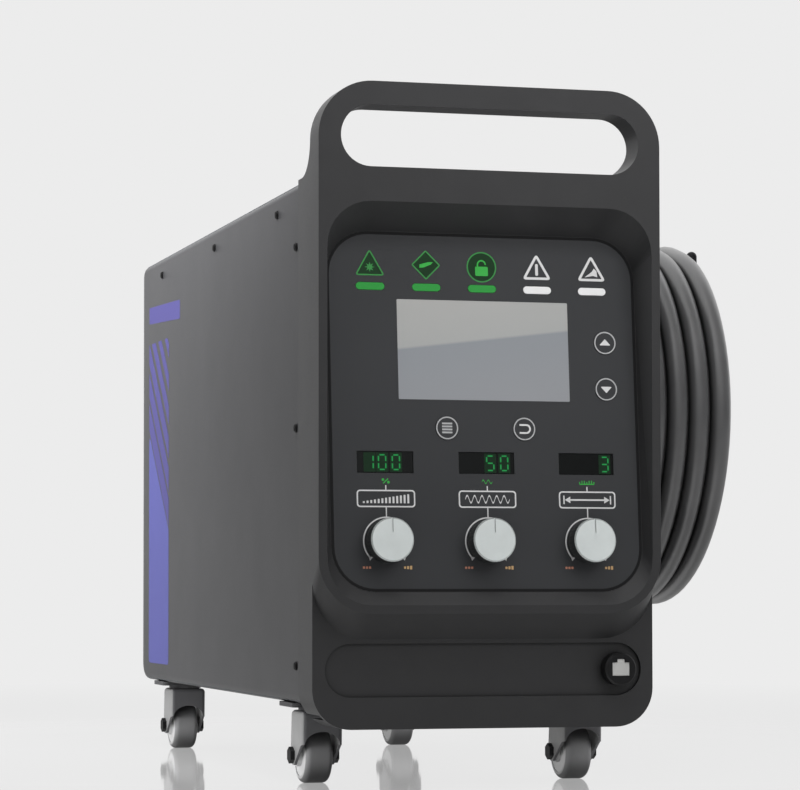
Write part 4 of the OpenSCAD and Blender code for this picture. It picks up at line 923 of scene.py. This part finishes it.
# Painted shadow: a near-black ring round the control panel, where the slope of the recess lies in shade
printed("panel_seal", [rounded(0, 0, 280, 312, 38, 12), rounded(0, 0, 275.2, 307.2, 35.6, 12)],
        seal_rubber, on_fascia(), thick=0.3)

# Painted reflection on the screen: a pale glare over its upper part, on a film a little larger than its
# window
reflection_matrix = on_fascia(0, 53.7)
printed("screen_image", [rounded(0, 0, 155.2, 87.2, 0.8, 4)], screen_reflection_material(reflection_matrix.translation),
        reflection_matrix, thick=0.3)

# Status symbols above the lamp bars; raised marks are a little thicker than lines, and fields thinner
symbol_up = 127.9
symbol_step = 50.5
mark_t = 0.16
field_t = 0.06
triangle = [(-13.4, -10.4), (13.4, -10.4), (0, 13)]
diamond = [(-13.2, 0), (0, -13.2), (13.2, 0), (0, 13.2)]
symbol_a, symbol_b, symbol_c, symbol_d, symbol_e = (
    on_fascia(symbol_step * place, symbol_up) for place in (-2, -1, 0, 1, 2))


def framed(name, here, outline, width, stroke, fill, r=2.0):
    """Frame of a symbol and, if it has one, the field in it."""
    inner = rounded_polygon(drawn_in(outline, width), max(0.4, r - width))
    printed(name + "_line", [rounded_polygon(outline, r), inner], stroke, here)
    if fill:
        printed(name + "_field", [inner], fill, here, thick=field_t)


def star(x, y, outer, inner, tips):
    """Outline of a star."""
    points = []
    for k in range(2 * tips):
        r = outer if k % 2 == 0 else inner
        points.append((x + r * math.sin(math.pi * k / tips), y + r * math.cos(math.pi * k / tips)))
    return points


framed("symbol_a", symbol_a, triangle, 1.2, green_stroke, green_fill)
printed("symbol_a_star", [star(0, -3, 4.6, 2, 8)], green_stroke, symbol_a, thick=mark_t)
framed("symbol_b", symbol_b, diamond, 1.2, green_stroke, green_fill, r=1.6)
printed("symbol_b_bar", [[(-6, -2.6), (-2, -2.2), (4.6, 0.6), (6.4, 2.6), (2.2, 2.6), (-5.6, 0.4)]],
        green_bright, symbol_b, thick=mark_t)
printed("symbol_c_line", ring(0, -0.6, 13.5, 1.2), green_stroke, symbol_c)
printed("symbol_c_field", [disc(0, -0.6, 12.3)], green_fill, symbol_c, thick=field_t)
printed("symbol_c_lock", [rounded(0, -4.2, 11.6, 8.2, 1.0)], green_bright, symbol_c, thick=mark_t)
printed("symbol_c_shackle", [arc(0, 1.6, 4.2, 1.3, -90, 90)], green_bright, symbol_c, thick=mark_t)
printed("symbol_c_shackle_leg", [bar(-3.55, 1.7, -3.55, -0.6, 1.3)], green_bright, symbol_c, thick=mark_t)
framed("symbol_d", symbol_d, triangle, 2.2, white_print, None, r=2.4)
printed("symbol_d_mark", [rounded(0, -1.6, 2.6, 10.5, 1.2)], white_print, symbol_d, thick=mark_t)
framed("symbol_e", symbol_e, triangle, 2.2, white_print, None, r=2.4)
printed("symbol_e_beam", [[(-6.2, -7.0), (1.6, -5.6), (5.6, -6.6), (5.0, -1.4), (2.6, 1.0), (0.6, -2.0)]],
        white_print, symbol_e, thick=mark_t)

# Rings and signs on the keys
arrow = [(-5.2, -2.2), (5.2, -2.2), (0, 3.4)]
key_signs = {
    "up": {"": (rounded_polygon(arrow, 0.5), white_print)},
    "down": {"": (rounded_polygon([(x, -y) for x, y in (arrow[0], arrow[2], arrow[1])], 0.5), white_print)},
    "menu": {"_%d" % row: (rounded(0, 3.9 - 2.6 * row, 9.2, 1.5, 0.3), grey_print) for row in range(4)},
    "back": {"": (arc(1.6, 0, 4.3, 1.6, 0, 180, 24), white_print),
             "_upper": (bar(-4.4, 3.5, 1.7, 3.5, 1.6), white_print),
             "_lower": (bar(-4.4, -3.5, 1.7, -3.5, 1.6), white_print)},
}
key_face = 0.8
for name, x, up in (("up", 111.5, 62.7), ("down", 111.5, 21.6), ("menu", -35, -14.5), ("back", 35, -14.5)):
    here = on_fascia(x, up, key_face)
    body = name + "_key"
    printed("key_ring_" + name, ring(0, 0, 9.9, 1.1), grey_print, here, body)
    for part, (outline, material) in key_signs[name].items():
        printed("key_sign_" + name + part, [outline], material, here, body)

# Readouts: lit digits with seven segments
segments = {"0": "abcdef", "1": "bc", "3": "abgcd", "5": "afgcd"}
bars_of = {"a": (0, 1, 1, 1), "b": (1, 1, 1, 0.5), "c": (1, 0.5, 1, 0), "d": (0, 0, 1, 0),
           "e": (0, 0.5, 0, 0), "f": (0, 1, 0, 0.5), "g": (0, 0.5, 1, 0.5)}
readout_up = -44.6
readout_deep = 0.9
dial_step = 91


def digit(name, sign, x):
    """A lit digit in its dark cell, behind the window of a readout."""
    w, h = 6.4, 12.6
    here = on_fascia(x, readout_up, -readout_deep)
    printed(name + "_cell", [rounded(0, 0, w + 4.4, h + 4.2, 0.6)], cell_glow, here, thick=0.08)
    strokes = []
    for s in segments[sign]:
        x1, y1, x2, y2 = bars_of[s]
        a = Vector(((x1 - 0.5) * w, (y1 - 0.5) * h))
        b = Vector(((x2 - 0.5) * w, (y2 - 0.5) * h))
        d = (b - a).normalized() * 0.95
        strokes.append(rounded_polygon(bar(*(a + d), *(b - d), 1.25), 0.3, 3))
    printed(name, strokes, digit_glow, here, thick=mark_t)


for name, sign, x in (("95", "1", -104.7), ("106", "0", -93.5), ("119", "0", -81.2),
                      ("five", "5", 3.6), ("zero", "0", 16.3), ("three", "3", dial_step + 17.2)):
    digit("digit_" + name, sign, x)

# Under each readout: the unit's sign, a stem, a framed sign, a stem, and the dial's scale with its ends
unit_signs = [
    [bar(-2.2, -62.9, 2.2, -58.9, 0.9), disc(-2.4, -59.8, 1.15, 20), disc(2.4, -62.0, 1.15, 20)],
    [wavy(0, -60.9, 9.4, 1.5, 2, 0.9, 48)],
    [bar(-6.6, -62.3, 6.6, -62.3, 0.9)]
    + [bar(k * 2.2, -62.2, k * 2.2, -59.2 - (k % 3 == 0), 0.8) for k in range(-3, 4)],
]
sign_up = -76.1
dial_up = -112.9
dial_turn = 137
scale_r = 20.7
mark_up = -135.4


def scale_end(side):
    """Small arrow head at an end of a dial's scale."""
    a = math.radians(dial_turn)
    end = Vector((side * scale_r * math.sin(a), dial_up + scale_r * math.cos(a)))
    out = Vector((side * math.sin(a), math.cos(a)))
    tip = end - Vector((side * math.cos(a), -math.sin(a))) * 3.6
    return [tuple(tip), tuple(end + out * 1.9), tuple(end - out * 1.9)]


for i, place in enumerate((-1, 0, 1)):
    here = on_fascia(dial_step * place)
    tag = "_%d" % i
    for k, outline in enumerate(unit_signs[i]):
        printed("unit_sign%s_%d" % (tag, k), [outline], green_bright, here)
    printed("stem_upper" + tag, [bar(0, -64.6, 0, -69.1, 1.0)], white_print, here)
    printed("stem_lower" + tag, [bar(0, -83.2, 0, -91.9, 1.0)], white_print, here)
    printed("sign_frame" + tag, [rounded(0, sign_up, 52, 15, 3), rounded(0, sign_up, 49.6, 12.6, 2)],
            white_print, here)
    printed("dial_scale" + tag, [arc(0, dial_up, scale_r + 0.6, 1.2, -dial_turn, dial_turn, 90)],
            white_print, here)
    for side in (-1, 1):
        printed("dial_end%s_%d" % (tag, side), [scale_end(side)], white_print, here)
    for side, mark in ((-1, red_mark), (1, amber_mark)):
        for k in range(3):
            high = 2.0 + (0.6 * k if side > 0 else 0)
            printed("dial_mark%s_%d_%d" % (tag, side, k),
                    [rounded(side * 18.2 + (k - 1) * 2.7, mark_up, 1.9, high, 0.4)], mark, here)

# Signs in the frames: power as rising bars, frequency as a wave, length as a double arrow
left_sign, middle_sign, right_sign = (on_fascia(dial_step * place, sign_up) for place in (-1, 0, 1))
for k in range(13):
    printed("sign_power_%d" % k, [rounded(3.3 * k - 19.8, 0.26 * k - 3.2, 1.7, 1.6 + 0.52 * k, 0.3)],
            white_print, left_sign)
printed("sign_frequency", [wavy(0, 0, 40, 3.1, 6, 1.5, 120)], white_print, middle_sign)
printed("sign_length_line", [bar(-17, 0, 17, 0, 1.4)], white_print, right_sign)
for side in (-1, 1):
    printed("sign_length_head_%d" % side, [[(side * 20.6, 0), (side * 15.6, 2.9), (side * 15.6, -2.9)]],
            white_print, right_sign)
    printed("sign_length_stop_%d" % side, [bar(side * 21.4, 3.7, side * 21.4, -3.7, 1.2)],
            white_print, right_sign)

# Violet decor on the side panels: a bar, and below it a band that breaks up into slanted stripes
band = {"rear": 760, "front": 652, "low": 92, "solid": 235, "top": 440}
bar_outline = [(594, 455), (band["rear"], 463), (band["rear"], 481), (594, 475)]
stripe_step = 33
slant = band["rear"] - band["front"]
base_outline = [(band["front"], band["low"]), (band["rear"], band["low"]),
                (band["rear"], band["solid"] + slant), (band["front"], band["solid"])]


def clipped(points, top):
    """The part of an outline below a height."""
    out = []
    for i, p in enumerate(points):
        q = points[(i + 1) % len(points)]
        a, b = top - p[1], top - q[1]
        if a >= 0:
            out.append(p)
        if (a >= 0) != (b >= 0):
            t = a / (a - b)
            out.append((p[0] + (q[0] - p[0]) * t, p[1] + (q[1] - p[1]) * t))
    return out


def side_plane(side):
    """Matrix of the flat of a side panel; its X points to the side's right, Z out of it."""
    m = Matrix((Vector((0, side, 0)), Vector((0, 0, 1)), Vector((side, 0, 0)))).transposed().to_4x4()
    m.translation = at(side * case["x"], 0, 0)
    return m


def stripe_outlines():
    """The stripes from the lowest and widest up to the thinnest, cut off at the top of the band."""
    count = round((band["top"] - band["solid"]) / stripe_step) + 1
    for i in range(count):
        gap = stripe_step * (0.12 + 0.5 * i / (count - 1))
        low = band["solid"] + gap + i * stripe_step
        high = low + stripe_step - gap
        yield clipped([(band["front"], low), (band["rear"], low + slant), (band["rear"], high + slant),
                       (band["front"], high)], band["top"])


def decor(side, name, outline, material):
    """A print on a side panel, its outline given as (y, z)."""
    printed(name, [[(side * y, z) for y, z in outline]], material, side_plane(side), thick=mark_t)


for side, side_name in ((-1, "left"), (1, "right")):
    decor(side, "stripe_base_" + side_name, rounded_polygon(base_outline, 6), violet_print)
    decor(side, "stripe_bar_" + side_name, rounded_polygon(bar_outline, 3), violet_faint)
    for i, outline in enumerate(stripe_outlines()):
        if len(outline) > 2:
            decor(side, "stripe_%s_%d" % (side_name, i), outline, violet_faint)

# Floor
floor_reach = 30
pale = srgb(236, 236, 236)


def floor_glow(n, rays):
    """Even pale glow, dimmer in mirrors that don't look steeply down at it."""
    glow = n.add("ShaderNodeEmission")
    glow.inputs["Color"].default_value = (*pale, 1)
    way = n.parts(n.add("ShaderNodeNewGeometry").outputs["Incoming"])
    steep = n.math("MULTIPLY", n.span(way["Z"], 0, 1, 0.3, 0.6), n.span(way["X"], 0, 1, -0.1, 0.1))
    dimmed = n.math("MULTIPLY", rays.outputs["Is Glossy Ray"], n.span(steep, 0.52, 0.0))
    n.link(n.math("SUBTRACT", 1.0, dimmed), glow.inputs["Strength"])
    return glow.outputs["Emission"]


def floor_material():
    """Pale glossy floor: a weak shadow, a mirror image, and no edge where it meets the background."""
    n = Nodes("floor_pale")
    n.set(Roughness=0.9, Specular_IOR_Level=0.0)
    rays = n.add("ShaderNodeLightPath")
    n.drive("Base Color", n.ramp(rays.outputs["Is Diffuse Ray"], [(0, pale), (1, srgb(205, 205, 205))]))
    glow = floor_glow(n, rays)
    mirror = n.add("ShaderNodeBsdfGlossy")
    mirror.inputs["Roughness"].default_value = 0.06
    mirror.inputs["Color"].default_value = (1, 1, 1, 1)
    seen = n.math("MAXIMUM", rays.outputs["Is Camera Ray"], rays.outputs["Is Glossy Ray"])
    veiled = n.mixed(n.math("MULTIPLY", seen, 0.9), n.shader.outputs["BSDF"], glow)
    place = n.parts(n.coords)
    flat = n.add("ShaderNodeCombineXYZ")
    n.link(place["X"], flat.inputs["X"])
    n.link(place["Y"], flat.inputs["Y"])
    size = n.add("ShaderNodeVectorMath", operation="LENGTH")
    n.link(flat.outputs["Vector"], size.inputs[0])
    distance = size.outputs["Value"]
    polish = n.math("MULTIPLY", rays.outputs["Is Camera Ray"], n.span(distance, 0.58, 0, 0.62, 1.0))
    near = n.mixed(polish, veiled, mirror.outputs["BSDF"])
    far = n.mixed(n.span(distance, 0, 1, 0.9, 2.4), near, glow)
    n.link(far, n.output.inputs["Surface"])
    return n.material


corners = [(-floor_reach, -floor_reach, 0), (floor_reach, -floor_reach, 0),
           (floor_reach, floor_reach, 0), (-floor_reach, floor_reach, 0)]
floor = solid("floor", corners, [(0, 1, 2, 3)], floor_material())

# World: pale where it is seen, bright and dim sides where it is mirrored, and weak where it lights
world = bpy.data.worlds.new("studio")
bpy.context.scene.world = world
world.use_nodes = True
sky = Tree(world.node_tree)
way = sky.parts(sky.add("ShaderNodeTexCoord").outputs["Generated"])
ambient = 0.17


def toward(axis, low, high, start, end):
    """From low to high while the way looked goes from start to end along an axis."""
    return sky.span(way[axis], low, high, start, end, how="SMOOTHSTEP")


# Mirrored light: bright behind on the right, dim behind on the left and in front on the right,
# and bright from above, apart from the front right
behind = toward("X", 0.02, 0.80, -0.34, -0.06)
before = toward("X", 0.36, 0.05, 0.16, 0.42)
level = sky.weighed(toward("Y", 0.0, 1.0, -0.1, 0.3), before, behind)
roof = sky.math("MAXIMUM", toward("X", 1.0, 0.2, -0.15, 0.1), toward("Y", 0.0, 1.0, 0.1, 0.5))
above = sky.math("MULTIPLY", toward("Z", 0.0, 1.0, 0.2, 0.7), roof)
mirrored = sky.weighed(above, level, 1.0)
rays = sky.add("ShaderNodeLightPath").outputs
background = sky.tree.nodes["Background"]
background.inputs["Color"].default_value = (1, 1, 1, 1)
sky.link(sky.weighed(rays["Is Glossy Ray"], ambient, mirrored), background.inputs["Strength"])
seen = sky.add("ShaderNodeBackground")
seen.inputs["Color"].default_value = (*pale, 1)
direct = sky.math("MAXIMUM", rays["Is Camera Ray"], rays["Is Transmission Ray"])
whole = sky.mixed(direct, background.outputs["Background"], seen.outputs["Background"])
sky.link(whole, sky.tree.nodes["World Output"].inputs["Surface"])


def lamp(name, place, target, size, power):
    """Area lamp at a place, aimed at a target; its size is in metres and its power in watts."""
    data = bpy.data.lights.new(name, "AREA")
    data.shape = "RECTANGLE"
    data.size, data.size_y = size
    data.energy = power
    obj = link(bpy.data.objects.new(name, data))
    obj.location = at(*place)
    way = at(*target) - obj.location
    obj.rotation_mode = "QUATERNION"
    obj.rotation_quaternion = way.to_track_quat("-Z", "Y")
    obj.visible_camera = False
    obj.visible_glossy = False
    return obj


# Lamps: the left side, everything from above, the front, the case's upper left edge, the grip,
# the casters alone, and the hose
lamp("left_lamp", (-650, 900, 560), (-150, 860, 330), (0.6, 0.9), 6.4)
lamp("top_lamp", (-300, -200, 2600), (0, 200, 300), (1.6, 1.6), 16)
lamp("front_lamp", (520, -1000, 1000), (0, 0, 460), (0.8, 0.8), 8.0)
lamp("edge_lamp", (-250, 370, 700), (-152, 370, 500), (0.66, 0.1), 1.8)
lamp("handle_lamp", (0, -350, 900), (0, 0, 590), (0.5, 0.1), 1.2)
caster_lamp = lamp("caster_lamp", (-900, 120, 92), (0, 250, 40), (0.9, 0.12), 5)
lit_casters = bpy.data.collections.new("lit_casters")
for obj in bpy.context.scene.objects:
    if any(word in obj.name for word in ("_fork", "_hub", "_tyre")):
        lit_casters.objects.link(obj)
caster_lamp.light_linking.receiver_collection = lit_casters
lamp("hose_lamp", (1000, 40, 700), (240, 220, 380), (0.5, 1.0), 6)

bpy.context.scene.view_settings.view_transform = "Standard"
